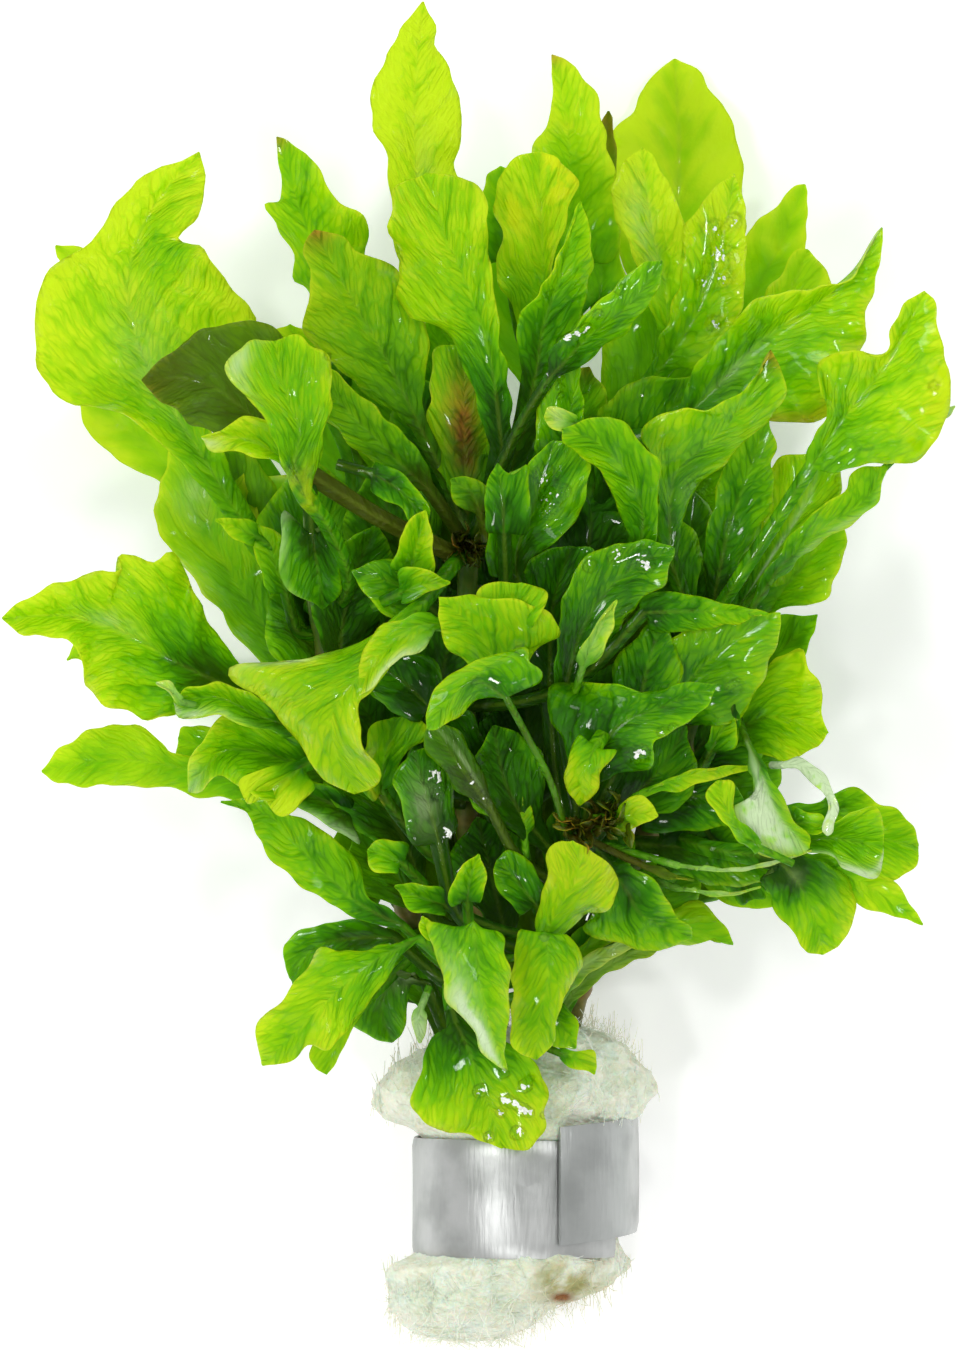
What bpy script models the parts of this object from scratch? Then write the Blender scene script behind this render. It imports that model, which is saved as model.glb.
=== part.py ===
# A bunch of ammannia, lying down: cut stems with broad wavy leaves, held in a plug of mineral wool
# that a lead strip is wound round. Metres, +Z up. The stems run along +Y, the surface is z = 0, and
# the origin lies on it under the middle of the bunch. Tables are in millimetres.

import math

import bmesh
import bpy
from mathutils import Vector

MM = 0.001

# Driving dimensions
STRIP_RADIUS = 14.2
STRIP_HEIGHT = 13.7
STRIP_THICKNESS = 0.8
STRIP_GAP = 0.35
STRIP_WIDTH = 14.2
STRIP_TURN = 401
STRIP_START = 71.5
STRIP_STEPS = 32
BAND_X = 5.5
WOOL_CLEARANCE = 0.35
STEM_RADIUS = 1.5
STEM_TIP_TAPER = 0.8
STEM_SIDES = 6
STEM_ROWS = 9
HOLE_SIDES = 8
HOLE_ROWS = 14
HOLE_THROUGH = 6
HOLE_BLIND = 1
LEAF_THICKNESS = 0.5
STALK_HALF_WIDTH = 0.9
TIP_HALF_WIDTH = 0.3
HALF_BULGE = 0.06
PLAIN_BLADE_ROWS = 5
LOBED_BLADE_ROWS = 7
LOBED_OUTLINE = 6
CURVE_STEPS = 12
SHARP_ANGLE = 50
WOOL_SIDES = 18
WOOL_LUMPS = 0.03

for old in list(bpy.data.objects):
    bpy.data.objects.remove(old, do_unlink=True)


def material(name, color, roughness, metallic=0.0):
    shade = bpy.data.materials.new(name)
    shade.use_nodes = True
    principled = shade.node_tree.nodes["Principled BSDF"]
    principled.inputs["Base Color"].default_value = (*color, 1)
    principled.inputs["Roughness"].default_value = roughness
    principled.inputs["Metallic"].default_value = metallic
    shade.diffuse_color = (*color, 1)
    return shade


def add_object(name, mesh, shade):
    mesh.materials.append(shade)
    mesh.shade_smooth()
    mesh.set_sharp_from_angle(angle=math.radians(SHARP_ANGLE))
    piece = bpy.data.objects.new(name, mesh)
    bpy.context.collection.objects.link(piece)
    return piece


def curve_through(points, count):
    """Points at even steps along a smooth curve through the given points."""
    points = [Vector(p) for p in points]
    ends = [points[0] * 2 - points[1], *points, points[-1] * 2 - points[-2]]
    fine = []
    for i in range(len(points) - 1):
        a, b, c, d = ends[i:i + 4]
        for step in range(CURVE_STEPS):
            t = step / CURVE_STEPS
            fine.append(0.5 * (2 * b + (c - a) * t + (2 * a - 5 * b + 4 * c - d) * t * t
                               + (3 * b - a - 3 * c + d) * t * t * t))
    fine.append(points[-1])
    along = [0.0]
    for a, b in zip(fine, fine[1:]):
        along.append(along[-1] + (b - a).length)
    result = []
    k = 0
    for i in range(count + 1):
        goal = along[-1] * i / count
        while k < len(fine) - 2 and along[k + 1] < goal:
            k += 1
        share = (goal - along[k]) / max(along[k + 1] - along[k], 1e-9)
        result.append(fine[k].lerp(fine[k + 1], min(share, 1)))
    return result


def sideways(path, i):
    """The unit vector to the left of a path seen from above."""
    ahead = path[min(i + 1, len(path) - 1)] - path[max(i - 1, 0)]
    return Vector((-ahead.y, ahead.x, 0)).normalized()


def closed_loft(rings):
    """A closed mesh through rings of equal point counts, with flat ends."""
    shape = bmesh.new()
    loops = [[shape.verts.new(p * MM) for p in ring] for ring in rings]
    size = len(loops[0])
    for a, b in zip(loops, loops[1:]):
        for i in range(size):
            shape.faces.new((a[i], a[(i + 1) % size], b[(i + 1) % size], b[i]))
    shape.faces.new(list(reversed(loops[0])))
    shape.faces.new(loops[-1])
    bmesh.ops.recalc_face_normals(shape, faces=shape.faces)
    mesh = bpy.data.meshes.new("loft")
    shape.to_mesh(mesh)
    shape.free()
    return mesh


def tube(points, radii, count, sides):
    """A tube along a smooth curve, whose radius follows the given radii."""
    path = curve_through(points, count)
    rings = []
    for i, centre in enumerate(path):
        ahead = (path[min(i + 1, count)] - path[max(i - 1, 0)]).normalized()
        across = ahead.cross(Vector((0, 0, 1))).normalized()
        up = across.cross(ahead)
        place = i / count * (len(radii) - 1)
        k = min(int(place), len(radii) - 2)
        radius = radii[k] + (radii[k + 1] - radii[k]) * (place - k)
        rings.append([centre + (across * math.cos(a) + up * math.sin(a)) * radius
                      for a in (2 * math.pi * s / sides for s in range(sides))])
    return closed_loft(rings)


def leaf_grid(rib, left, right, heights, lift, stalk):
    """Rows of five points from the base of a leaf to its tip: margin, half, rib, half, margin.

    rib, left and right are outlines seen from above; the first `stalk` points of rib are the
    narrow base. heights gives the rib's height at the base and at the tip, and how far it bows.
    lift says how far the left and the right margin stand above the rib.
    """
    base, tip, bow = heights
    base_rows = stalk - 1
    lobed = max(len(left), len(right)) >= LOBED_OUTLINE
    blade_rows = LOBED_BLADE_ROWS if lobed else PLAIN_BLADE_ROWS
    narrow = curve_through([(*p, 0) for p in rib[:stalk]], base_rows)
    blade = curve_through([(*p, 0) for p in rib[stalk - 1:]], blade_rows)
    side = sideways(narrow, base_rows) * STALK_HALF_WIDTH
    end = sideways(blade, blade_rows) * TIP_HALF_WIDTH
    margins = []
    for outline, sign in ((left, 1), (right, -1)):
        margins.append(curve_through([blade[0] + side * sign, *[(*p, 0) for p in outline],
                                      blade[-1] + end * sign], blade_rows))
    path = narrow + blade[1:]
    lengths = [0.0]
    for a, b in zip(path, path[1:]):
        lengths.append(lengths[-1] + (b - a).length)
    rows = []
    for i, centre in enumerate(path):
        u = lengths[i] / lengths[-1]
        centre = Vector((centre.x, centre.y, base + (tip - base) * u + bow * math.sin(math.pi * u)))
        edges = []
        for k, sign in ((0, 1), (1, -1)):
            if i <= base_rows:
                edge = centre + sideways(narrow, i) * STALK_HALF_WIDTH * sign
            else:
                edge = margins[k][i - base_rows].copy()
                opened = math.sin(math.pi * (i - base_rows) / blade_rows)
                edge.z = centre.z + lift[k] * opened
            edges.append(edge)
        row = [edges[0], None, centre, None, edges[1]]
        for j in (1, 3):
            row[j] = (row[j - 1] if j == 1 else row[j + 1]).lerp(centre, 0.5)
            row[j].z += HALF_BULGE * (edges[0 if j == 1 else 1] - centre).length
        rows.append(row)
    return rows


def leaf_mesh(rows):
    """A thin closed sheet whose upper face is the grid of points."""
    last = len(rows) - 1
    wide = len(rows[0]) - 1
    shape = bmesh.new()
    upper = []
    lower = []
    for i in range(last + 1):
        upper.append([])
        lower.append([])
        for j in range(wide + 1):
            ahead = rows[min(i + 1, last)][j] - rows[max(i - 1, 0)][j]
            across = rows[i][max(j - 1, 0)] - rows[i][min(j + 1, wide)]
            normal = ahead.cross(across).normalized()
            upper[i].append(shape.verts.new(rows[i][j] * MM))
            lower[i].append(shape.verts.new((rows[i][j] - normal * LEAF_THICKNESS) * MM))
    for i in range(last):
        for j in range(wide):
            shape.faces.new((upper[i][j], upper[i][j + 1], upper[i + 1][j + 1], upper[i + 1][j]))
            shape.faces.new((lower[i][j], lower[i + 1][j], lower[i + 1][j + 1], lower[i][j + 1]))
    rim = ([(i, 0) for i in range(last)] + [(last, j) for j in range(wide)]
           + [(i, wide) for i in range(last, 0, -1)] + [(0, j) for j in range(wide, 0, -1)])
    for (i, j), (m, n) in zip(rim, rim[1:] + rim[:1]):
        shape.faces.new((upper[i][j], upper[m][n], lower[m][n], lower[i][j]))
    bmesh.ops.recalc_face_normals(shape, faces=shape.faces)
    mesh = bpy.data.meshes.new("leaf")
    shape.to_mesh(mesh)
    shape.free()
    return mesh


# Each leaf, from its base to its tip: rib, left margin and right margin as seen from above, the
# rib's height at the base and at the tip with its bow, the lift of the two margins, and how many
# points of the rib belong to its narrow base.
LEAVES = {
    "leaf_top_tall": (
        [(1, 30), (-2, 40), (-5, 50), (-7.2, 60), (-7.5, 70), (-6.5, 80.7)],
        [(-9.5, 50), (-10.3, 57), (-11, 63), (-12.6, 67.5), (-12.2, 72), (-10, 75), (-8, 79)],
        [(-2.5, 52), (-3, 59.8), (-2.3, 64), (-2, 68.5), (-3.3, 72), (-4.6, 75.5), (-5.3, 78)],
        (24, 34, 1), (2, -1), 2),
    "leaf_top_wavy": (
        [(1.5, 20), (3, 27), (1.5, 38), (-1, 46), (-4, 53), (-6, 60)],
        [(-3, 40), (-8, 43), (-9.8, 46), (-9.5, 50.3), (-10.5, 54), (-9.5, 58.3)],
        [(3.6, 36), (2.3, 43), (2, 47.5), (1.2, 53.5), (1.3, 56), (0, 58.8), (-3, 59.6)],
        (37, 42, 2), (-2, 1.5), 2),
    "leaf_yellow_spotted": (
        [(7, 30), (7.5, 38), (8, 46), (7.8, 52), (7.5, 57), (7.5, 62.7)],
        [(4.7, 42.5), (2.2, 47.5), (3.2, 52.8), (4, 57), (5, 61)],
        [(10.5, 46), (12, 52), (11.9, 58), (10.3, 61)],
        (27, 36, 1), (1, 1), 2),
    "leaf_pointed_back": (
        [(12, 38), (12, 50), (11, 60), (10.5, 68), (9, 74.5)],
        [(7.5, 55), (7, 63.5), (8.3, 67), (9, 69), (9, 72)],
        [(15.5, 56), (15.5, 64), (14.6, 68), (13.5, 70.7), (10.7, 74)],
        (17, 27, 1), (-1.5, 1), 2),
    "leaf_big_back": (
        [(18, 34), (21, 44), (24, 55), (25, 64), (23.7, 74)],
        [(17, 50), (15.5, 60), (16.5, 65), (18, 66.5), (20.5, 71), (22, 73)],
        [(29, 47), (32, 53), (31.8, 57.5), (31.6, 63), (29.5, 68.5), (26, 73)],
        (13, 0.5, -1), (2, 1), 2),
    "leaf_bright_back": (
        [(17, 33), (19, 40), (20.5, 47), (20.5, 55), (19.8, 63.2)],
        [(17, 44), (16, 51), (16.2, 57.5), (18, 61.8)],
        [(24, 44), (25.5, 50), (24.5, 55.5), (22.5, 60)],
        (24, 32, 1), (1.5, 1), 2),
    "leaf_narrow_upright": (
        [(6, 31), (7, 36), (8, 42), (10, 48), (12.3, 56.5)],
        [(4.5, 39), (4.5, 42), (7.5, 46), (9.5, 49), (10.8, 53.5)],
        [(10.8, 38), (12.3, 42), (13.5, 47), (13.6, 51), (13, 54.3)],
        (37, 45, 1), (1.5, -1), 2),
    "leaf_folded_gloss": (
        [(7, 33), (9, 36), (13, 40), (18, 44), (22, 49.3)],
        [(8.8, 39.2), (12, 41.8), (16, 46), (19, 48.5)],
        [(13.5, 37.8), (17, 40.5), (20, 43.5), (21.8, 46.5)],
        (43, 51, 1), (1, -2), 2),
    "leaf_spangled": (
        [(15.5, 31.5), (20, 35), (24, 40), (27.5, 47), (30, 55.5)],
        [(21, 40), (24, 48), (26.5, 54)],
        [(26, 36), (30.5, 43), (32.5, 50), (31.8, 54)],
        (25, 35, 0), (1.5, 1), 2),
    "leaf_right_back_tall": (
        [(28, 34), (32, 41), (34, 47), (37, 53), (39.5, 59.2)],
        [(28.5, 44), (30.5, 50), (33.5, 54.3), (35.5, 56.3), (38, 58.8)],
        [(36.5, 43), (39, 47), (39.6, 52), (39.8, 57.5)],
        (15, 14, 1), (-1, 2), 2),
    "leaf_horned": (
        [(15, 28.5), (20, 28.5), (25, 31), (29, 35), (34, 40), (40, 44), (45, 48), (48.4, 53.5)],
        [(26, 37), (30, 41.5), (33, 44.5), (37, 45.8), (41, 46.8), (44.5, 48), (46.7, 51.7)],
        [(31, 32), (35, 31.6), (41, 32.5), (44.5, 36), (46.2, 40), (46.6, 43), (48.3, 50.5)],
        (31, 40, 1), (3, 1), 3),
    "leaf_two_lobed": (
        [(28.3, 7), (35.5, 18), (40, 25), (44, 31), (48, 36), (51, 41), (53.3, 45.8)],
        [(40.8, 29), (40.3, 34), (41, 37.8), (44, 38.8), (47.5, 38.3), (49.2, 40.5), (50.5, 43.8)],
        [(44, 24.5), (49, 24.9), (52, 25.8), (55, 29.5), (57, 33.5), (57, 36), (55.4, 39.5), (55, 43)],
        (35, 46, 0), (2, 2), 3),
    "leaf_red_ribbed": (
        [(-1.3, 18), (-1.4, 22), (-1.5, 28), (-1.5, 34), (-1.5, 40)],
        [(-3.5, 24), (-5.5, 29), (-5.3, 34), (-4, 38)],
        [(0.8, 24), (2, 29), (2, 34), (0.8, 38)],
        (31, 34, 0), (-1, -1), 2),
    "leaf_giant_left": (
        [(-24, 12), (-31, 23), (-36, 31), (-40, 38), (-42, 46), (-39.5, 55), (-33.3, 62.6)],
        [(-42, 31), (-48.2, 33), (-51, 35), (-53, 40), (-53, 44), (-51.5, 48), (-46, 52), (-43.5, 56),
         (-39, 60.2), (-36, 61.3)],
        [(-33, 34), (-29, 38), (-27, 42.3), (-29, 45.5), (-31, 48.7), (-33.5, 51), (-36, 52.2),
         (-34, 54.8), (-33, 58.5)],
        (25, 36, 1), (1, 4), 2),
    "leaf_left_behind": (
        [(-22, 6), (-30, 18), (-39, 27), (-44, 31), (-49, 36)],
        [(-37, 22.5), (-41.5, 24.8), (-45.5, 27.8), (-47.7, 31)],
        [(-36, 30), (-41, 36), (-46, 38)],
        (16, 2, 0), (-2, 1), 2),
    "leaf_red_tipped": (
        [(-14, 26), (-16, 34), (-18.5, 44), (-20, 52), (-22, 58), (-24, 64.5)],
        [(-20.3, 46.8), (-22, 48.5), (-21.8, 50.8), (-24.3, 53.8), (-25.8, 56.4), (-23.5, 57), (-24, 61)],
        [(-15, 44), (-14, 49), (-13.3, 52.5), (-13.4, 55), (-16.5, 56.5), (-18, 58.8), (-20, 61.8),
         (-22.5, 64)],
        (23, 33, 1), (-2, 2), 2),
    "leaf_orange_tipped": (
        [(-4, 24), (-7, 30), (-11, 38), (-15, 45), (-19.5, 53.2)],
        [(-12, 33), (-17, 37), (-20.8, 41.5), (-19.7, 45), (-20.3, 49), (-20.6, 51.8)],
        [(-6.5, 34), (-6, 40), (-8, 45), (-10, 48.7), (-13, 50.3), (-16.5, 52.7)],
        (33, 40, 1), (2, -1), 2),
    "leaf_olive_narrow": (
        [(-3.5, 20), (-6, 22.5), (-9, 25), (-13, 29), (-18, 34), (-21, 37)],
        [(-9, 23), (-13, 26.8), (-18, 30.5)],
        [(-7.5, 26), (-12, 31), (-17, 35.5)],
        (37, 43, 1), (-1, 1), 2),
    "leaf_olive_brown": (
        [(-4, 15), (-12, 19), (-20, 24), (-27, 31), (-33, 35), (-40, 35.2)],
        [(-24, 26), (-28, 27.5), (-32.5, 29.3), (-36.3, 31.8), (-38.5, 33.2)],
        [(-22, 31), (-22, 38), (-25, 41.8), (-30, 42), (-34, 40.3), (-38, 37.3)],
        (38, 48, 1), (-2, 2), 3),
    "leaf_front_curled": (
        [(-5, 18), (-14, 26), (-20, 34), (-23.5, 39.5), (-22.5, 34), (-20.5, 27), (-19, 20), (-16.2, 13.7)],
        [(-18.3, 38.5), (-17.3, 36.5), (-17.3, 33), (-17.9, 29), (-18, 25), (-17.2, 19)],
        [(-28.8, 38.8), (-29.3, 35), (-28.5, 31), (-32, 28), (-28, 26.5), (-23, 24), (-20.5, 19)],
        (40, 56, 7), (-3, -3), 3),
    "leaf_long_left": (
        [(-12, -12), (-19, -3), (-27, 8), (-32, 17), (-33.5, 29)],
        [(-27, 2.5), (-31.5, 9.5), (-36, 14.8), (-38.3, 21), (-36.8, 27.5)],
        [(-20, 7), (-24, 14), (-27, 21), (-29, 27)],
        (22, 23, 1), (-3, 1), 2),
    "leaf_left_lobed": (
        [(-20, -3), (-27, -2.5), (-35, 1), (-42, 5), (-49, 7), (-56.9, 6.8)],
        [(-33.8, -4.5), (-38, -5), (-41.5, -5), (-43, -3.7), (-46, -2.2), (-47.2, 1), (-47.5, 3),
         (-50, 4.7), (-54.5, 5.1)],
        [(-29.5, 2), (-32.5, 7), (-34.5, 11.5), (-36.3, 14), (-42.3, 14.6), (-43.5, 12.7),
         (-46, 12.4), (-50, 10.9), (-55, 8.8)],
        (30, 37, 1), (3, 4), 2),
    "leaf_far_left": (
        [(-14, -21), (-22, -16), (-31, -12.5), (-39, -10.5), (-46, -10.3), (-52.3, -11.8)],
        [(-27, -16.7), (-32, -14.7), (-36, -13.7), (-45, -13.3), (-50, -12.9)],
        [(-28, -10), (-36, -10), (-39.3, -7), (-43, -6.3), (-47.5, -7.5), (-50.5, -9.6)],
        (20, 24, 1), (-1, 1), 2),
    "leaf_left_cupped": (
        [(-15, -13), (-18, -12), (-22, -10.5), (-27, -9), (-31, -9.5), (-34.6, -14)],
        [(-22, -14), (-25, -15), (-28, -13.5), (-31, -12.3), (-33.5, -13.9)],
        [(-21.5, -6.9), (-25, -6.4), (-29.5, -5), (-32.3, -6.8), (-34, -9.5)],
        (32, 34, 1), (3, 3), 2),
    "leaf_front_left": (
        [(-3, 13), (-7, 8), (-13, 1), (-17, -4), (-17, -9), (-14.5, -14.2)],
        [(-12, -1), (-14, -4), (-13.6, -8.5), (-11.5, -11), (-11.7, -13)],
        [(-13, 4.5), (-20, 2), (-28.5, 1.3), (-29.3, -0.5), (-26, -2.6), (-23.5, -5), (-21.7, -7.5),
         (-19, -11.5), (-16.5, -13.4)],
        (40, 45, 10), (1, -3), 2),
    "leaf_front_top": (
        [(10.6, -15.8), (9.4, -7), (8, -2), (5, 3), (1, 6), (-4.6, 9.4)],
        [(1, 0), (-3.2, 2.5), (-4, 6)],
        [(7, 2.8), (9.8, 5.5), (7, 7.3), (8.3, 10), (4, 10.9), (0, 9.5), (-3, 9.3)],
        (46, 56, 3), (1, -2), 3),
    "leaf_front_drooping": (
        [(10, -19), (7.2, -8), (5, -1), (0, -0.5), (-3.5, -3), (-6, -6.6)],
        [(4, -1.8), (1, -2.8), (-1.5, -4.5), (-4, -6.3)],
        [(8, 0.5), (6, 2.8), (2, 2.2), (-1, 1), (-4, -1), (-5.8, -4)],
        (46, 60, 5), (-2, -1), 2),
    "leaf_front_wide": (
        [(13, -16), (13.2, -13.6), (14, -10), (17, -6), (22, -3.8), (28.6, -1.2)],
        [(10.7, -13), (10.5, -8), (8.7, -5), (8.5, -1.5), (13, -1), (16.5, -1), (20, -2.1), (25, -0.9)],
        [(14.3, -13), (17, -11.5), (20.5, -11), (21.5, -8), (24.5, -6), (27.3, -3.5)],
        (44.8, 49, 1), (-2, 1), 2),
    "leaf_gloss_dark": (
        [(11.5, -13.5), (10, -4), (12, 4), (15, 9.5), (19, 13), (23.5, 15.2)],
        [(9.5, 4), (10.5, 9), (11.5, 12.3), (15, 15.3), (20, 16)],
        [(14, 1), (16.2, 4.5), (18.5, 7.5), (22, 11), (23.4, 13.7)],
        (39, 47, 1), (2, -2), 2),
    "leaf_spoon": (
        [(3.5, 13), (4.3, 15), (5.5, 18), (8, 22), (9.5, 28.7)],
        [(1.4, 18), (1.6, 21.5), (3.5, 24.3), (6, 25), (8, 27.3)],
        [(6.5, 15.5), (10.5, 17.5), (12.3, 21), (13.1, 24.5), (11.8, 27.6)],
        (42, 49, 1), (2, 2), 2),
    "leaf_bright_bent": (
        [(1.5, 10), (10, 8), (18, 12), (20, 18), (17.5, 24), (13, 29), (8, 31)],
        [(17.7, 16), (15.8, 21), (12.5, 24.7), (10, 28.5)],
        [(21.3, 18), (21, 22.5), (22.6, 24.5), (17.5, 29), (14.3, 31), (11, 31.3)],
        (34, 57, -1), (-2, 1), 3),
    "leaf_orange_point": (
        [(25.5, 7), (23, 14), (23.5, 23.5), (28, 28), (32, 32.5), (35, 38.8)],
        [(21, 25), (19.7, 28.5), (22, 30.7), (26, 32.1), (29, 32), (32, 34), (34, 36.8)],
        [(25, 23.5), (28, 25.2), (31.5, 27.5), (34.5, 30.5), (36.8, 33.8), (36.3, 36.5)],
        (35, 48, 1), (2, -1), 2),
    "leaf_right_upper": (
        [(28.5, 5), (28.5, 10), (30, 17), (32, 23), (34, 29)],
        [(27, 15), (28.5, 22), (31, 27.5)],
        [(32.5, 15), (35.5, 21), (36, 26)],
        (32, 38, 0), (1, -1), 2),
    "leaf_right_ribbed": (
        [(28, 0), (31.8, 8.8), (35.2, 14), (38.7, 19.3), (40.6, 23.5), (41, 26.6)],
        [(33.2, 14), (34.3, 20), (34.2, 23.8), (36.8, 26.2)],
        [(34.4, 10.6), (37.4, 14.8), (40.6, 19), (43.2, 21.8), (43.3, 25)],
        (27, 32, 0), (1, 0.5), 2),
    "leaf_right_twisted": (
        [(30.2, 2.5), (33.2, 8.5), (36.8, 13.4), (41.6, 17.6), (46.2, 20.8), (49.1, 25)],
        [(35.6, 14), (39.8, 19), (44.4, 22.2), (46, 24.8)],
        [(37, 12.6), (42, 16.6), (47.2, 19.4), (48.7, 22.2)],
        (33, 37, 0), (1, -1), 2),
    "leaf_right_side": (
        [(25, -9), (29, -4), (33, 0), (37, 3.5), (40.8, 7.2)],
        [(31, 4), (36, 7.5)],
        [(36, -2), (39, 2), (40.3, 5.5)],
        (21, 28, 0), (-1, 1), 2),
    "leaf_right_bright": (
        [(27.4, -8.8), (29.5, -7.6), (32, -6), (36, -5), (42, -6.9)],
        [(33, -1), (36, 2), (38.8, 2.8), (39.7, 0), (41, -1.5), (41.2, -5.5)],
        [(32.5, -9), (36.5, -10.2), (40, -9.3), (41.7, -7.8)],
        (28, 34, 0), (2, 1), 2),
    "leaf_right_big": (
        [(19, -12), (22, -5), (26, 0), (31, 4.5), (36.2, 7.4)],
        [(21, 1), (24, 5), (29, 6.6), (33, 7.6)],
        [(26, -6), (31, -6), (33, -2.5), (34.8, 1.7), (36, 5)],
        (36, 42, 0), (1.5, -1.5), 2),
    "leaf_white_backed": (
        [(30.5, -4), (31.6, -7), (33.5, -11), (35, -15), (36.5, -18), (40, -20)],
        [(34.7, -9.5), (36.3, -12.5), (38, -17), (39.5, -19)],
        [(32.8, -13.5), (29.5, -12.3), (27.6, -13.5), (29.5, -17), (31.5, -20.5), (35, -22.2),
         (38.5, -21.4)],
        (33, 46, 4), (-2, 2), 2),
    "leaf_right_round": (
        [(28, -15), (36, -17), (43, -18), (48, -19.5), (53, -20.5)],
        [(42.5, -14), (46, -14.3), (50, -15.8), (52.3, -18)],
        [(43, -21), (47, -24), (50.3, -24.3), (52.7, -22.7)],
        (26, 28, 1), (2, 2), 2),
    "leaf_right_drooping": (
        [(29, -21), (36, -22), (38.5, -25), (40.5, -29), (41.5, -33.6)],
        [(42, -22.6), (44.8, -25), (45.3, -28.5), (43.7, -32)],
        [(34.3, -24.5), (35.5, -27.8), (37.7, -29.3), (39.3, -32.4)],
        (34, 28, 3), (-2, -2), 2),
    "leaf_low_right": (
        [(14.5, -21), (16, -23), (18, -26), (20, -29), (25.7, -31.5)],
        [(18, -22.5), (21.5, -25), (23.5, -28.5), (25.5, -30.2)],
        [(15.5, -25), (13.5, -29), (12.5, -30.5), (16, -32), (21, -32.9), (24, -32.2)],
        (39, 33, 1), (1, -2), 2),
    "leaf_bright_knob": (
        [(5, -35.5), (6.3, -32), (9, -28.5), (11.5, -24.5), (12, -20)],
        [(6.5, -28.5), (8.2, -26), (8.5, -22.8), (10, -20.3)],
        [(11, -28.6), (15, -27.8), (16.8, -25), (15.5, -22.3)],
        (37, 50, 0), (-2, -2), 2),
    "leaf_low_left_bright": (
        [(-3, -35), (-7, -31.5), (-12, -34), (-17, -38), (-21, -42), (-25.8, -46.8)],
        [(-11, -36), (-14.5, -41), (-17.5, -44.6), (-20, -44.3), (-23, -46.2)],
        [(-12.5, -32.8), (-16, -33.2), (-18.5, -32.7), (-20.8, -35), (-23, -39.5), (-26, -42.5)],
        (38, 33, 3), (-1, -2), 2),
    "leaf_low_left_dark": (
        [(-5, -36), (-10, -31.5), (-14, -31.5), (-19, -32.5), (-22.5, -36.5)],
        [(-14, -34), (-18, -35.5), (-21.5, -37.3)],
        [(-13, -29.9), (-18, -29.9), (-22, -31.3), (-23.3, -33.5)],
        (31, 28, 1), (-1, 1), 2),
    "leaf_long_low_left": (
        [(-5, -34), (-9, -30), (-14, -27.5), (-18, -24), (-23, -19), (-27.3, -15.5)],
        [(-15, -28.7), (-20, -26), (-24, -22.8), (-26.3, -18.5)],
        [(-13, -26.5), (-15.3, -22), (-17, -19), (-22, -17.8), (-24, -15.5)],
        (35, 30, 0), (-1, 1), 2),
    "leaf_white_underside": (
        [(0.5, -36), (0, -32), (-0.5, -29.3), (0, -34), (1, -40), (3.5, -47.2)],
        [(2.5, -30.5), (3.7, -34), (3.6, -40), (3.4, -45)],
        [(-4.8, -29.6), (-6, -31), (-4.6, -34.5), (-3.5, -39), (-1.2, -41.5), (1, -45.5)],
        (46, 50, 5), (-2, -3), 2),
    "leaf_hanging_right": (
        [(8.5, -40), (8, -34), (8, -30.5), (8.5, -35), (7.5, -41), (7, -46)],
        [(10.7, -31), (12.7, -34.5), (11, -37.2), (9.7, -40), (8.8, -44)],
        [(5.5, -30.5), (4.2, -35), (3.9, -40), (4.5, -44.5)],
        (38, 42, 4), (-2, -2), 2),
    "leaf_over_band": (
        [(-3, -40), (-2.5, -42), (-1, -45), (0.5, -49), (3, -56.8)],
        [(1, -43), (6, -45.5), (8.3, -50), (8.2, -54), (6, -56.7)],
        [(-5.5, -43.5), (-6.6, -47), (-8, -51.2), (-5.5, -54.2), (-1, -55.3)],
        (32, 31, 1), (-0.5, -0.5), 2),
    "leaf_under_left": (
        [(-10, -16), (-16, -11), (-24, -5), (-32, -1), (-41, 3)],
        [(-24, -8), (-32, -4.4), (-39, -1.5)],
        [(-22, -1), (-28.5, 0.5), (-36, 5.5)],
        (17, 0.5, -3), (1, -1), 2),
    "leaf_under_top_left": (
        [(-8, 4), (-12, 14), (-16, 24), (-20, 32), (-24.5, 40.5)],
        [(-20, 20), (-25.5, 28), (-27.4, 35)],
        [(-10, 24), (-13, 32), (-19, 39)],
        (18, 0.5, -3), (1.5, 1), 2),
    "leaf_under_top_right": (
        [(9, 14), (9, 24), (7, 34), (5, 45), (7, 58)],
        [(0, 34), (-3, 44), (1, 53)],
        [(13, 32), (14, 43), (11, 53)],
        (16, 0.5, -3), (1, 1), 2),
    "leaf_under_right": (
        [(21, -16), (25.5, -9), (30, -3), (34, 2), (37.6, 5.4)],
        [(25, -1), (28.5, 4), (33.5, 6.4)],
        [(33.5, -7), (37, -3), (38.8, 1.5)],
        (19, 0.5, -3), (1, 2), 2),
}


def make_leaf(name, shade):
    rib, left, right, heights, lift, stalk = LEAVES[name]
    return add_object(name, leaf_mesh(leaf_grid(rib, left, right, heights, lift, stalk)), shade)


# Each stem's axis from the wool to its growing tip. The front stem runs right through the wool and
# shows its brown cut end below it.
STEMS = {
    "stem_front": [(9.7, -74.6, 21), (9.2, -70, 20), (8.5, -60, 17), (7.5, -48, 21), (8, -36, 31),
                   (11, -24, 38), (12.5, -18.5, 43)],
    "stem_centre": [(4, -53, 15), (2, -40, 20), (-1, -20, 27), (-1.5, 0, 33), (-1, 15, 36)],
    "stem_left": [(0, -53, 14), (-5, -38, 19), (-10, -24, 24), (-15, -12, 27), (-18, 2, 29.5),
                  (-19.5, 10, 30.5)],
    "stem_right": [(11, -53, 13), (14, -38, 18), (20, -22, 24), (25, -8, 28), (27.5, 4, 31)],
    "stem_rear": [(6, -53, 10), (7, -30, 13), (8, 0, 17), (10, 16, 20), (13, 31, 22)],
}

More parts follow.
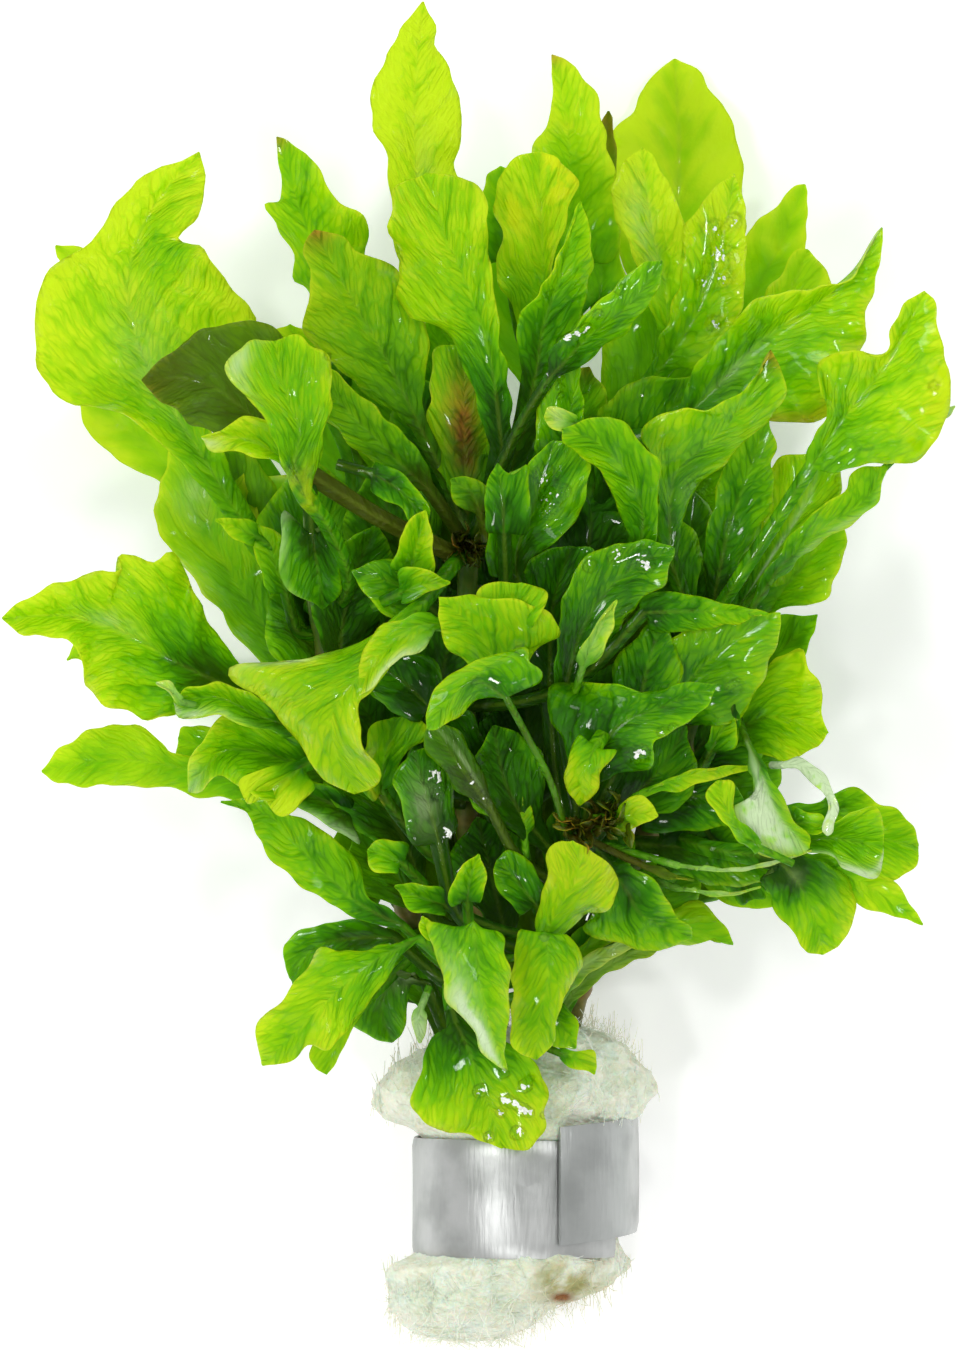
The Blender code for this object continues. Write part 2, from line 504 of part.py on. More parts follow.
# The strip's middle, as places along the bunch at turns in degrees from its outer end.
STRIP_COURSE = [(0, -61.5), (70, -59.8), (160, -61.2), (250, -62.9), (STRIP_TURN, -63.1)]
# The wool's girth: place along the bunch, middle across, half width, half depth, height of middle.
# Rings beside the strip follow its course, so their places are measured from its middle.
WOOL_BELOW = [
    (-80.5, -1.0, 3.0, 4.0, 14.0), (-79.2, -1.2, 6.8, 8.0, 13.6), (-76.8, -1.0, 9.6, 11.0, 13.6),
    (-74.2, 2.8, 13.0, 12.6, 13.8),
]
WOOL_BESIDE = [
    (-8.6, 4.2, 14.9, 13.2, 14.0), (-7.6, 5.5, 11.6, 11.6, 14.2),
    (7.6, 5.5, 11.6, 11.6, 14.2), (8.6, 4.2, 14.9, 13.4, 14.2),
]
WOOL_ABOVE = [
    (-49.5, 4.2, 16.0, 13.8, 14.3), (-46.5, 5.0, 13.6, 12.4, 14.6), (-43.6, 7.0, 9.5, 9.5, 15.0),
    (-42.2, 8.0, 5.0, 6.0, 15.5),
]


def strip_middle(turn):
    for (t0, y0), (t1, y1) in zip(STRIP_COURSE, STRIP_COURSE[1:]):
        if turn <= t1:
            share = (turn - t0) / (t1 - t0)
            return y0 + (y1 - y0) * share * share * (3 - 2 * share)
    return STRIP_COURSE[-1][1]


def make_wool(shade):
    rings = []
    for girth in WOOL_BELOW + WOOL_BESIDE + WOOL_ABOVE:
        y, middle, wide, deep, height = girth
        ring = []
        for k in range(WOOL_SIDES):
            turn = 360 * k / WOOL_SIDES
            a = math.radians(STRIP_START - turn)
            lump = 1 + (WOOL_LUMPS * math.sin(3 * a + y) if girth not in WOOL_BESIDE[1:3] else 0)
            place = y
            if girth in WOOL_BESIDE:
                inner_end = turn <= STRIP_TURN - 360 and y < 0
                place = y + strip_middle(turn + 360 if inner_end else turn)
            x = middle + wide * lump * math.cos(a)
            z = max(height + deep * lump * math.sin(a), 0.0)
            ring.append(Vector((x, place, z)))
        rings.append(ring)
    wool = add_object("wool", closed_loft(rings), shade)
    for stem_name, path in STEMS.items():
        first = Vector(path[0])
        deeper = HOLE_THROUGH if stem_name == "stem_front" else HOLE_BLIND
        start = first + (first - Vector(path[1])).normalized() * deeper
        hole_mesh = tube([start, *path], [STEM_RADIUS + WOOL_CLEARANCE] * 2, HOLE_ROWS, HOLE_SIDES)
        hole = add_object("hole_" + stem_name, hole_mesh, shade)
        hole.hide_render = True
        hole.display_type = "WIRE"
        cut = wool.modifiers.new("hole_" + stem_name, "BOOLEAN")
        cut.object = hole
        cut.operation = "DIFFERENCE"


def strip_point(turn, inset):
    """A point of the spiral strip: `turn` degrees on from its outer end, `inset` from outside."""
    radius = STRIP_RADIUS - inset - (STRIP_THICKNESS + STRIP_GAP) * turn / 360
    a = math.radians(STRIP_START - turn)
    return Vector((BAND_X + radius * math.cos(a), strip_middle(turn), STRIP_HEIGHT + radius * math.sin(a)))


def make_strip(shade):
    rings = []
    half = Vector((0, STRIP_WIDTH / 2, 0))
    for i in range(STRIP_STEPS + 1):
        turn = STRIP_TURN * i / STRIP_STEPS
        outer = strip_point(turn, 0)
        inner = strip_point(turn, STRIP_THICKNESS)
        rings.append([outer - half, outer + half, inner + half, inner - half])
    add_object("lead_strip", closed_loft(rings), shade)


leaf_green = material("leaf_green", (0.25, 0.52, 0.03), 0.35)
for leaf_name in LEAVES:
    make_leaf(leaf_name, leaf_green)
stem_green = material("stem_green", (0.3, 0.38, 0.08), 0.45)
stem_radii = [STEM_RADIUS, STEM_RADIUS, STEM_RADIUS * STEM_TIP_TAPER]
for stem_name, stem_path in STEMS.items():
    add_object(stem_name, tube(stem_path, stem_radii, STEM_ROWS, STEM_SIDES), stem_green)
make_wool(material("mineral_wool", (0.78, 0.8, 0.66), 0.95))
make_strip(material("lead", (0.55, 0.56, 0.57), 0.4, 0.9))
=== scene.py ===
# A bunch of ammannia lying down on a pale surface: soft stems with broad, wet, wavy leaves, held in a
# plug of mineral wool that a lead strip is wound round. Tables are in millimetres, the rest in metres.
import math

import bpy
import numpy as np
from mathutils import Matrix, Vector, noise


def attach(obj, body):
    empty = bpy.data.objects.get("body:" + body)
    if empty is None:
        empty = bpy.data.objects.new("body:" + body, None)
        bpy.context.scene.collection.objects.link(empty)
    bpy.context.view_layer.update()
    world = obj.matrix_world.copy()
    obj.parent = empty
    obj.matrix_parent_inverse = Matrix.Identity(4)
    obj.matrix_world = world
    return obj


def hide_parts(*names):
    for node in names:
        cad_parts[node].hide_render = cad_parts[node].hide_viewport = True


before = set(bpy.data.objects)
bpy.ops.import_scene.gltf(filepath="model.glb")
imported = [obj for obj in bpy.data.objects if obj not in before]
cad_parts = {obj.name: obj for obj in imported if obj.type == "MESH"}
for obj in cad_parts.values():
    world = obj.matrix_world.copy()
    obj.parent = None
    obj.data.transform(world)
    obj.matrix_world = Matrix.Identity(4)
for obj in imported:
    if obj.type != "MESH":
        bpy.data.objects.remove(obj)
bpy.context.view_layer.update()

# The stems.
# Five soft cut stems 3 mm thick, green above and reddish near the cut. They are round, swell a little
# at each joint where leaves grow, and run down into the wool that holds them.
MM = 0.001
STEMS = {
    "stem_front": [(9.7, -74.6, 21), (9.2, -70, 20), (8.5, -60, 17), (7.5, -48, 21), (8, -36, 31),
                   (11, -24, 38), (12.5, -18.5, 43)],
    "stem_centre": [(4, -53, 15), (2, -40, 20), (-1, -20, 27), (-1.5, 0, 33), (-1, 15, 36)],
    "stem_left": [(0, -53, 14), (-5, -38, 19), (-10, -24, 24), (-15, -12, 27), (-18, 2, 29.5),
                  (-19.5, 10, 30.5)],
    "stem_right": [(10, -53, 13), (11.8, -39, 18), (18.6, -23, 24), (25, -8, 28), (27.5, 4, 31)],
    "stem_rear": [(6, -53, 10), (7, -30, 13), (8, 0, 17), (10, 16, 20), (13, 31, 22)],
}
STEM_RADIUS = 1.5
STEM_TAPER = 0.2
STEM_STEPS = 90
STEM_SIDES = 16
JOINT_SPACING = 11.0
JOINT_SWELL = 0.22
# Points between two given points of a curve, and a direction that no path of the bunch has.
CURVE_STEPS = 16
ALMOST_UP = (0.02, 0.03, 1)


class Value:
    """A number or a colour that a finish works out at each point of a surface."""

    def __init__(self, finish, socket):
        self.finish = finish
        self.socket = socket

    def maths(self, operation, *values):
        return self.finish.node("ShaderNodeMath", {"operation": operation}, values)["Value"]

    def __add__(self, other):
        return self.maths("ADD", self, other)

    def __sub__(self, other):
        return self.maths("SUBTRACT", self, other)

    def __rsub__(self, other):
        return self.maths("SUBTRACT", other, self)

    def __mul__(self, other):
        return self.maths("MULTIPLY", self, other)

    def __abs__(self):
        return self.maths("ABSOLUTE", self)

    __radd__ = __add__
    __rmul__ = __mul__

    def part(self):
        """What is left of the number after its whole part."""
        return self.maths("FRACT", self)

    def rise(self, low, high):
        """0 up to low, 1 from high on, and smooth between them."""
        return self.finish.node("ShaderNodeMapRange", {"interpolation_type": "SMOOTHSTEP"},
                                {"Value": self, "From Min": low, "From Max": high})["Result"]


class Nodes:
    """The nodes of a finish, or of the light all round."""

    def __init__(self, tree):
        self.tree = tree

    def node(self, kind, settings, sockets):
        """Adds a node: its settings first, then the values or links of its sockets."""
        made = self.tree.nodes.new(kind)
        for setting, value in settings.items():
            if setting == "stops":
                for place, colour in value[1:-1]:
                    made.color_ramp.elements.new(place)
                for element, (place, colour) in zip(made.color_ramp.elements, value):
                    element.position = place
                    element.color = (*colour, 1)
            else:
                setattr(made, setting, value)
        self.feed(made, sockets)
        return {socket.identifier: Value(self, socket) for socket in made.outputs}

    def feed(self, made, sockets):
        pairs = sockets.items() if isinstance(sockets, dict) else enumerate(sockets)
        for key, value in pairs:
            socket = made.inputs[key] if isinstance(key, int) else next(
                s for s in made.inputs if key in (s.identifier, s.name) and s.enabled)
            if isinstance(value, Value):
                self.tree.links.new(value.socket, socket)
            elif socket.type == "RGBA":
                socket.default_value = (*value, 1)
            else:
                socket.default_value = value


class Finish(Nodes):
    """A material in the making: its Principled shader, and the nodes that feed it."""

    def __init__(self, name, fixed):
        self.material = bpy.data.materials.new(name)
        self.material.use_nodes = True
        super().__init__(self.material.node_tree)
        self.shader = self.tree.nodes["Principled BSDF"]
        self.feed(self.shader, fixed)

    def mix(self, share, first, second):
        return self.node("ShaderNodeMix", {"data_type": "RGBA"},
                         {"Factor_Float": share, "A_Color": first, "B_Color": second})["Result_Color"]

    def speckle(self, where, scale, detail):
        return self.node("ShaderNodeTexNoise", {"noise_dimensions": "3D"},
                         {"Vector": where, "Scale": scale, "Detail": detail})["Fac"]

    def around(self):
        """The place on the object, in metres."""
        return self.node("ShaderNodeTexCoord", {}, {})["Object"]

    def together(self, *numbers):
        """Three numbers as one vector."""
        return self.node("ShaderNodeCombineXYZ", {}, numbers)["Vector"]

    def written(self, attribute):
        """The three numbers that the mesh holds under a name, as a vector and one by one."""
        vector = self.node("ShaderNodeAttribute", {"attribute_name": attribute}, {})["Vector"]
        parts = self.node("ShaderNodeSeparateXYZ", {}, [vector])
        return vector, parts["X"], parts["Y"], parts["Z"]

    def bump(self, height, strength, depth):
        return self.node("ShaderNodeBump", {}, {"Height": height, "Strength": strength,
                                                "Distance": depth})["Normal"]

    def let_light_through(self, share, colour):
        """Mixes in light that comes through from behind, as through a thin leaf."""
        through = self.node("ShaderNodeBsdfTranslucent", {}, {"Color": colour})["BSDF"]
        own = Value(self, self.shader.outputs["BSDF"])
        both = self.node("ShaderNodeMixShader", {}, {0: share, 1: own, 2: through})["Shader"]
        self.feed(self.tree.nodes["Material Output"], {"Surface": both})


def travelled(path):
    """How far along a path each of its points is."""
    return np.concatenate([[0], np.cumsum(np.linalg.norm(np.diff(path, axis=0), axis=1))])


def smooth_path(points, count):
    """Points at even steps along a smooth curve through the given points."""
    points = np.array(points, float)
    ends = np.vstack([2 * points[0] - points[1], points, 2 * points[-1] - points[-2]])
    t = np.linspace(0, 1, CURVE_STEPS, endpoint=False)[:, None]
    fine = [0.5 * (2 * b + (c - a) * t + (2 * a - 5 * b + 4 * c - d) * t ** 2
                   + (3 * b - a - 3 * c + d) * t ** 3)
            for a, b, c, d in zip(ends, ends[1:], ends[2:], ends[3:])]
    fine = np.vstack([*fine, points[-1:]])
    along = travelled(fine)
    goals = np.linspace(0, along[-1], count + 1)
    return np.column_stack([np.interp(goals, along, fine[:, k]) for k in range(fine.shape[1])])


def tube_rings(path, radii, sides):
    """Rings of points round a path, one to a point of it."""
    ahead = np.gradient(path, axis=0)
    ahead /= np.linalg.norm(ahead, axis=1)[:, None]
    across = np.cross(ahead, ALMOST_UP)
    across /= np.linalg.norm(across, axis=1)[:, None]
    up = np.cross(across, ahead)
    turn = np.linspace(0, 2 * math.pi, sides, endpoint=False)
    ring = across[:, None] * np.cos(turn)[:, None] + up[:, None] * np.sin(turn)[:, None]
    return path[:, None] + ring * np.asarray(radii, float)[:, None, None]


def tube_faces(rings, sides, start=0):
    """The faces of one closed tube whose points start at a number."""
    k = np.arange(sides)
    faces = [np.column_stack([start + r * sides + k, start + r * sides + (k + 1) % sides,
                              start + (r + 1) * sides + (k + 1) % sides, start + (r + 1) * sides + k])
             for r in range(rings - 1)]
    ends = [(start + k)[::-1].tolist(), (start + (rings - 1) * sides + k).tolist()]
    return np.vstack(faces).tolist() + ends


def add_piece(name, points, faces, finishes, nodes=(), sharp=60):
    """A piece of the bunch, from points in millimetres, that stands for solids of the frame."""
    mesh = bpy.data.meshes.new(name)
    mesh.from_pydata((np.asarray(points) * MM).tolist(), [], faces)
    mesh.validate()
    mesh.shade_smooth()
    mesh.set_sharp_from_angle(angle=math.radians(sharp))
    for finish in finishes:
        mesh.materials.append(finish)
    piece = bpy.data.objects.new(name, mesh)
    bpy.context.collection.objects.link(piece)
    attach(piece, "root")
    if nodes:
        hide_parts(*nodes)
    return piece


def write_down(piece, attribute, numbers):
    """Keeps three numbers for each point of a piece's mesh, for its finish to read."""
    made = piece.data.attributes.new(attribute, "FLOAT_VECTOR", "POINT")
    made.data.foreach_set("vector", np.asarray(numbers, np.float32).ravel())


stem_finish = Finish("stem", {"Roughness": 0.4, "Subsurface Weight": 0.15, "Subsurface Scale": 0.001,
                              "Specular IOR Level": 0.2})
stem_age = stem_finish.written("place")[2]
stem_streaks = stem_finish.speckle(stem_finish.around(), 900, 3)
# The greens are kept dark, as painted shade for stems that lie deep in the bunch.
stem_green = stem_finish.mix(stem_streaks, (0.02, 0.07, 0.002), (0.08, 0.17, 0.01))
stem_red = stem_finish.mix(stem_streaks, (0.10, 0.045, 0.010), (0.30, 0.22, 0.06))
stem_finish.feed(stem_finish.shader, {
    "Base Color": stem_finish.mix(stem_age + (stem_streaks - 0.5) * 0.5, stem_green, stem_red),
    "Normal": stem_finish.bump(stem_streaks, 0.3, 0.0002)})
stem_paths = []
for stem_name, stem_points in STEMS.items():
    stem_path = smooth_path(stem_points, STEM_STEPS)
    stem_paths.append(stem_path)
    run = np.linspace(0, 1, len(stem_path))
    joint = np.abs(((run * travelled(stem_path)[-1] / JOINT_SPACING) % 1) - 0.5) * 2
    radii = STEM_RADIUS * (1 - STEM_TAPER * run) * (1 + JOINT_SWELL * np.clip(1 - joint * 5, 0, 1))
    rings = tube_rings(stem_path, radii, STEM_SIDES)
    stem = add_piece("fine_" + stem_name, rings.reshape(-1, 3), tube_faces(len(rings), STEM_SIDES),
                     [stem_finish.material], [stem_name])
    # The lower end and the joints are the oldest, and the reddest.
    age = np.clip(0.75 - run * 0.9, 0.08, 1) + 0.5 * np.clip(1 - joint * 4, 0, 1)
    write_down(stem, "place", np.repeat(np.column_stack([run, age, run]), STEM_SIDES, axis=0))

# The leaves.
# Thin, soft, wavy blades on narrow bases, bright yellow-green with a fine net of darker veins, paler
# and silvery below. Each grows from a joint of a stem, and they are wet from the tank in places.
ROWS = 54
COLUMNS = 22
STALK_ROWS = 12
REACH_ROWS = 8
BLADE_THICKNESS = 0.30
EDGE_THICKNESS = 0.15
# Half widths of the narrow base at its foot and where the blade opens, and of the tip.
FOOT_HALF_WIDTH = 0.9
FOOT_SHARE = 0.85
HIP_HALF_WIDTH = 2.4
HIP_LEAST = 0.45
HIP_SHARE = 0.38
TIP_HALF_WIDTH = 0.12
# The round stalk above and below, which fades along the blade, and the leaf length below which
# everything is thinner.
STALK_ABOVE = 0.40
STALK_BELOW = 0.55
STALK_FADE = 4
SLIM_LENGTH = 10
# The rib's groove above and ridge below, and the veins with the quilting between them.
RIB_HALF_WIDTH = 0.8
RIB_GROOVE = 0.10
RIB_RIDGE = 0.6
VEIN_SPACING = 5.2
VEIN_SLANT = 1.3
QUILT = 0.10
# How the halves belly, how the margins wave, curl and are nibbled, and the half width of blade from
# which they do so in full. Each has its own noise: how fine it is, and where it is read.
BELLY = 0.30
WAVE_LENGTHS = (7.5, 10.5)
CURL = 3.2
NIBBLE = 0.8
FULL_WIDTH = 5
WANDER_NOISE, NIBBLE_NOISE, CURL_NOISE = (0.11, 3.7, 1), (0.35, 5.1, 9), (0.16, 2.3, 4)
# How much darker a blade is at its base, for its thicker tissue and with painted shade where leaves
# crowd, and by painted shade deep in the bunch, and how much painted light lightens it at its margin and
# rim.
BASE_DARK = 0.40
DEEP_PAINTED_SHADE = 0.36
MARGIN_PAINTED_LIGHT = 0.22
RIM_PAINTED_LIGHT = 0.16
# The middle of the painted shade inside the bunch, its reach, the height where it starts and how fast.
DEEP_MIDDLE, DEEP_REACH = (4, -1), (26, 28)
DEEP_TOP, DEEP_FALL = 46, 14
# Half the width of the narrow base, where it isn't taken from the blade's opening.
STALK_WIDTHS = {"leaf_front_drooping": 0.45, "leaf_front_top": 0.4, "leaf_olive_brown": 1.2,
                "leaf_narrow_upright": 1.7, "leaf_top_wavy": 1.5, "leaf_folded_gloss": 0.8}
# rib, left margin, right margin, heights (base, tip, bow), lift of the margins, points of the rib in
# the narrow base; then how light the leaf is, its own tone with the shade or light where it lies painted
# in, how olive the leaf is, how wet, and how deep its edge waves.
LEAVES = {
    "leaf_top_tall": ([(1, 30), (-2, 40), (-5, 50), (-7.2, 60), (-7.5, 70), (-6.5, 80.7)],
        [(-9.5, 50), (-10.2, 57), (-11, 62.6), (-12.8, 66.6), (-12.8, 70), (-11.4, 73.2), (-8, 79)],
        [(-2.5, 52), (-2.6, 59.8), (-2.1, 63.4), (-2, 68.5), (-3.3, 72), (-4.6, 75.5), (-5.3, 78)],
        (24, 34, 1), (2, -1), 2, 1.04, 0, 0.15, 0.8),
    "leaf_top_wavy": ([(1.5, 20), (3, 27), (1.5, 38), (-1, 46), (-4, 53), (-6, 60)],
        [(-3, 40), (-8, 43), (-9.8, 46), (-9.5, 50.3), (-10.5, 54), (-9.5, 58.3)],
        [(3.6, 36), (2.3, 43), (2, 47.5), (1.2, 53.5), (1.3, 56), (0, 58.8), (-3, 59.6)],
        (37, 42, 2), (-2, 1.5), 2, 0.8, 0, 0.15, 1.2),
    "leaf_yellow_spotted": ([(7, 30), (7.5, 38), (8, 46), (7.8, 52), (7.5, 57), (7.5, 62.7)],
        [(4.7, 42.5), (2.4, 47), (2.4, 50), (3.2, 53), (2, 55.6), (2.6, 59), (4.2, 61.8)],
        [(8.6, 46), (10, 52), (11.4, 57), (12, 59.4), (10.4, 61.6)],
        (27, 36, 1), (1, 1), 2, 0.86, 0, 0.1, 0.8),
    "leaf_pointed_back": ([(9.5, 36), (11, 50), (11.2, 60), (10.5, 68), (9, 74.5)],
        [(7, 55), (7, 63.2), (8.2, 66), (9, 68.6), (8.9, 72)],
        [(16.6, 50), (17, 58), (16, 63), (14.7, 67.2), (13.6, 70.2), (10.9, 73.6)],
        (17, 27, 1), (-1.5, 1), 2, 0.86, 0.0, 0.1, 0.4),
    "leaf_big_back": ([(20.5, 34), (22.4, 44), (24, 55), (24.4, 64), (23.9, 74.7)],
        [(17.4, 50), (14.6, 60), (16.5, 65.2), (19.5, 69.1), (21.5, 72.7)],
        [(29, 47), (32.2, 53), (32.4, 57.4), (31.9, 61.4), (31.2, 65.3), (29.5, 69), (27, 72.8)],
        (13, 0.5, -1), (2, 1), 2, 0.92, 0, 0.05, 0.3),
    "leaf_bright_back": ([(21, 34), (22.8, 41), (22.6, 46.6), (20.8, 54), (19.8, 63.2)],
        [(19, 50), (16.6, 54.6), (16.2, 57.8), (17.6, 61.2)],
        [(25, 48), (24.6, 54), (23, 59), (21.2, 62.2)], (24, 32, 1), (1.5, 1), 2, 0.98, 0, 0.2, 0.5),
    "leaf_narrow_upright": ([(6, 31), (7, 36), (8, 42), (10, 48), (12.3, 56.5)],
        [(4.5, 39), (4.5, 42), (7.5, 46), (9.5, 49), (10.8, 53.5)],
        [(10.8, 38), (12.3, 42), (13.5, 47), (13.6, 51), (13, 54.3)],
        (37, 45, 1), (1.5, -1), 2, 0.58, 0, 0.2, 0.6),
    "leaf_folded_gloss": ([(7, 33), (9, 36), (13, 40), (18, 44), (22, 49.3)],
        [(8.8, 39.2), (12, 41.8), (16, 46), (19, 48.5)],
        [(13.5, 37.8), (17, 40.5), (20, 43.5), (21.8, 46.5)],
        (43, 51, 1), (1, -2), 2, 0.5, 0, 0.8, 0.5),
    "leaf_spangled": ([(18.5, 32), (22.6, 37.5), (26.4, 43.5), (29.2, 51), (30.8, 60)],
        [(22, 41), (24.4, 47), (25, 53.5), (28, 58)], [(28, 37), (31.6, 44), (32.2, 51), (32, 57)],
        (25, 33, 0), (1.5, 1), 2, 0.9, 0, 0.8, 0.7),
    "leaf_right_back_tall": ([(28, 34), (32, 41), (34, 47), (37, 53), (39.5, 59.2)],
        [(28.5, 44), (30.5, 50), (33.2, 54), (35.4, 56), (38, 58.8)],
        [(36.5, 43), (39, 47), (39.6, 52), (39.8, 57.5)], (15, 14, 1), (-1, 2), 2, 0.8, 0, 0.1, 0.6),
    "leaf_horned": (
        [(15, 28.5), (20, 28.5), (25, 31), (29, 35), (34, 40), (40, 44), (45, 48), (48.4, 53.5)],
        [(26, 37), (30, 41.5), (33, 44.5), (37, 45.8), (41, 46.4), (44.9, 47.5), (46.9, 51.5)],
        [(31, 31), (35, 30.6), (41, 30.4), (44.5, 35), (46.2, 40), (46.6, 43), (48.3, 50.5)],
        (31, 40, 1), (3, 1), 3, 0.76, 0, 0.6, 1.2),
    "leaf_two_lobed": ([(28.3, 7), (35.5, 18), (40, 25), (44, 31), (48, 36), (51, 41), (53.4, 45.8)],
        [(39.6, 27.2), (41.4, 30), (41.8, 32.4), (40.6, 34), (40.5, 36), (41.4, 38), (44.8, 38.8),
         (48.6, 38.2), (50, 42.2), (51.2, 44.6)],
        [(43.2, 24.2), (47.6, 25.4), (51.2, 25.2), (53.2, 26.2), (55, 29), (56.6, 32.4), (56.4, 36),
         (55.2, 39.3), (54.8, 44.2)], (35, 46, 0), (2, 2), 3, 0.84, 0, 0.45, 0.7),
    "leaf_red_ribbed": ([(-1.2, 17), (-1.3, 21), (-1.4, 26), (-1.5, 31), (-1.6, 35), (-1.7, 39.8)],
        [(-4.8, 24.5), (-5.9, 30), (-6, 35), (-4.8, 38.8)], [(1.8, 24), (2, 29), (1.2, 34), (0.6, 38)],
        (33, 36, 0), (-1, -1), 2, 0.8, 0.0, 0.1, 0.4),
    "leaf_giant_left": (
        [(-24, 12), (-31, 23), (-36, 31), (-40, 38), (-42, 46), (-39.5, 55), (-33.3, 62.6)],
        [(-42, 31), (-49, 32.6), (-52.2, 35), (-53.2, 40), (-53, 44), (-51.5, 48), (-46, 52),
         (-43.5, 56), (-39, 60.2), (-36, 61.3)],
        [(-33, 34), (-29, 38), (-26.4, 42.3), (-27.2, 44), (-29.9, 46.9), (-31.4, 49.4), (-33.5, 51.3),
         (-36, 52.2), (-33.8, 54.4), (-32.4, 57.6)], (25, 36, 1), (1, 4), 2, 0.92, 0, 0.15, 1.3),
    "leaf_left_behind": ([(-22, 6), (-30, 18), (-39, 27), (-44, 31), (-49, 36)],
        [(-37, 22.5), (-41.5, 24.8), (-45.5, 27.8), (-47.7, 31)], [(-36, 30), (-41, 36), (-46, 38)],
        (16, 2, 0), (-2, 1), 2, 0.8, 0, 0.05, 0.5),
    "leaf_red_tipped": ([(-14, 26), (-16, 34), (-18.5, 44), (-20, 52), (-22, 58), (-24, 64.5)],
        [(-19.8, 45.4), (-22.4, 47.6), (-22, 50.6), (-24.3, 53.8), (-25.8, 56.4), (-23.5, 57),
         (-24, 61)],
        [(-15, 44), (-14, 49), (-13.3, 52.5), (-13.4, 55), (-16.5, 56.5), (-18, 58.8), (-20, 61.8),
         (-22.5, 64)], (23, 33, 1), (-2, 2), 2, 0.66, 0, 0.1, 0.8),
    "leaf_orange_tipped": ([(-4, 24), (-7, 30), (-11, 38), (-15, 45), (-19.5, 53.2)],
        [(-12, 33), (-17, 37), (-20.8, 41.5), (-19.7, 45), (-20.3, 49), (-20.6, 51.8)],
        [(-6.5, 34), (-6, 40), (-8, 45), (-10, 48.7), (-13, 50.3), (-16.5, 52.7)],
        (33, 40, 1), (2, -1), 2, 0.7, 0.2, 0.15, 0.8),
    "leaf_olive_narrow": ([(-3.5, 19), (-6, 22.5), (-9.5, 25.6), (-13.5, 29.6), (-18, 34.2), (-21, 37)],
        [(-9, 22.6), (-13.4, 26.2), (-18.2, 30.6)], [(-7, 26.6), (-11.6, 31.4), (-17, 36)],
        (37, 43, 1), (-1, 1), 2, 0.6, 0.15, 0.1, 0.5),
    "leaf_olive_brown": ([(-4, 15), (-12, 19), (-20, 24), (-27, 31), (-33, 35), (-40, 35.2)],
        [(-24, 26), (-28, 27.5), (-32.5, 29.3), (-36.3, 31.8), (-38.5, 33.2)],
        [(-22, 31), (-22, 38), (-25, 41.8), (-30, 42), (-34, 40.3), (-38, 37.3)],
        (38, 48, 1), (-2, 2), 3, 0.36, 0.7, 0.2, 0.8),
    "leaf_front_curled": (
        [(-16, 13.9), (-18.1, 18.2), (-20.6, 21.3), (-21.7, 25), (-21.2, 29.1), (-22.8, 33.5),
         (-24.1, 39.8)], [(-24.2, 27.5), (-26.2, 32), (-29.2, 34.6), (-29.7, 37.1), (-27.6, 39.6)],
        [(-19, 25), (-18.2, 28.5), (-17.4, 33.5), (-17.5, 37), (-19, 39.2), (-21.5, 40.4)],
        (44, 55, 3), (2, 0), 3, 0.72, 0, 0.3, 0.8),
    "leaf_long_left": ([(-12, -12), (-19, -3), (-27, 8), (-32, 17), (-33.5, 29)],
        [(-27, 2.5), (-31.6, 8.4), (-36.7, 15), (-38.8, 19.4), (-36.8, 27.5)],
        [(-20, 7), (-24, 14), (-27, 21), (-29, 27)], (22, 23, 1), (-3, 1), 2, 0.72, 0, 0.15, 0.8),
    "leaf_left_lobed": ([(-20, -3), (-27, -2.5), (-35, 1), (-42, 5), (-49, 7), (-56.9, 6.8)],
        [(-33.8, -4), (-37.4, -4.9), (-39.8, -5.5), (-41.6, -4.6), (-44.6, -3.4), (-46.8, -1.4),
         (-47.2, 1), (-48.2, 3.4), (-50.4, 4.4), (-54.5, 4.8)],
        [(-28.8, 1.8), (-31, 4.4), (-32.6, 7), (-33, 8.6), (-34.3, 11), (-35.6, 13.6), (-37, 14.4),
         (-39, 13.6), (-42.8, 14.6), (-42.6, 12.6), (-45.6, 12.5), (-49.2, 11.2), (-52, 10),
         (-55, 8.8)], (30, 37, 1), (3, 4), 2, 0.84, 0, 0.2, 1.3),
    "leaf_far_left": (
        [(-12, -15), (-21, -14), (-31, -12.2), (-39, -10.5), (-46, -10.3), (-52.4, -11.6)],
        [(-27, -15.4), (-32, -14.4), (-37.5, -13.6), (-42, -13.3), (-47, -13.6), (-50.4, -13)],
        [(-28, -10), (-36, -9.7), (-38, -7.9), (-40, -6.3), (-43.4, -5.9), (-47.6, -7.2),
         (-50.6, -9.4)], (20, 24, 1), (-1, 1), 2, 0.74, 0, 0.1, 0.4),
    "leaf_left_cupped": ([(-15, -13), (-18, -12), (-22, -10.5), (-27, -9), (-31, -9.5), (-34.6, -14)],
        [(-22, -14), (-25, -15), (-28, -13.5), (-31, -12.3), (-33.5, -13.9)],
        [(-21.5, -6.9), (-25, -6.4), (-29.5, -5), (-32.3, -6.8), (-34, -9.5)],
        (32, 34, 1), (3, 3), 2, 0.7, 0, 0.2, 1.0),
    "leaf_front_left": ([(-3, 13), (-7, 8), (-13, 1), (-17, -4), (-17, -9), (-14.5, -14.2)],
        [(-12, -1), (-14, -4), (-13.6, -8.5), (-11.5, -11), (-11.7, -13)],
        [(-13, 4.5), (-20, 2), (-28.5, 1.3), (-29.3, -0.5), (-26, -2.6), (-23.5, -5), (-21.7, -7.5),
         (-19, -11.5), (-16.5, -13.4)], (40, 45, 10), (1, -3), 2, 0.82, 0, 0.35, 0.9),
    "leaf_front_top": (
        [(10.4, -18), (8.6, -12.4), (6.2, -7.8), (3.4, -2.6), (1.5, 3), (-1, 6.2), (-4.5, 9.2)],
        [(-1, 1.4), (-3.4, 3), (-4.2, 6)],
        [(7, 3), (9.6, 4.6), (10, 6), (8.7, 7.3), (4.4, 8.8), (0.4, 9.5), (-2.6, 9.3)],
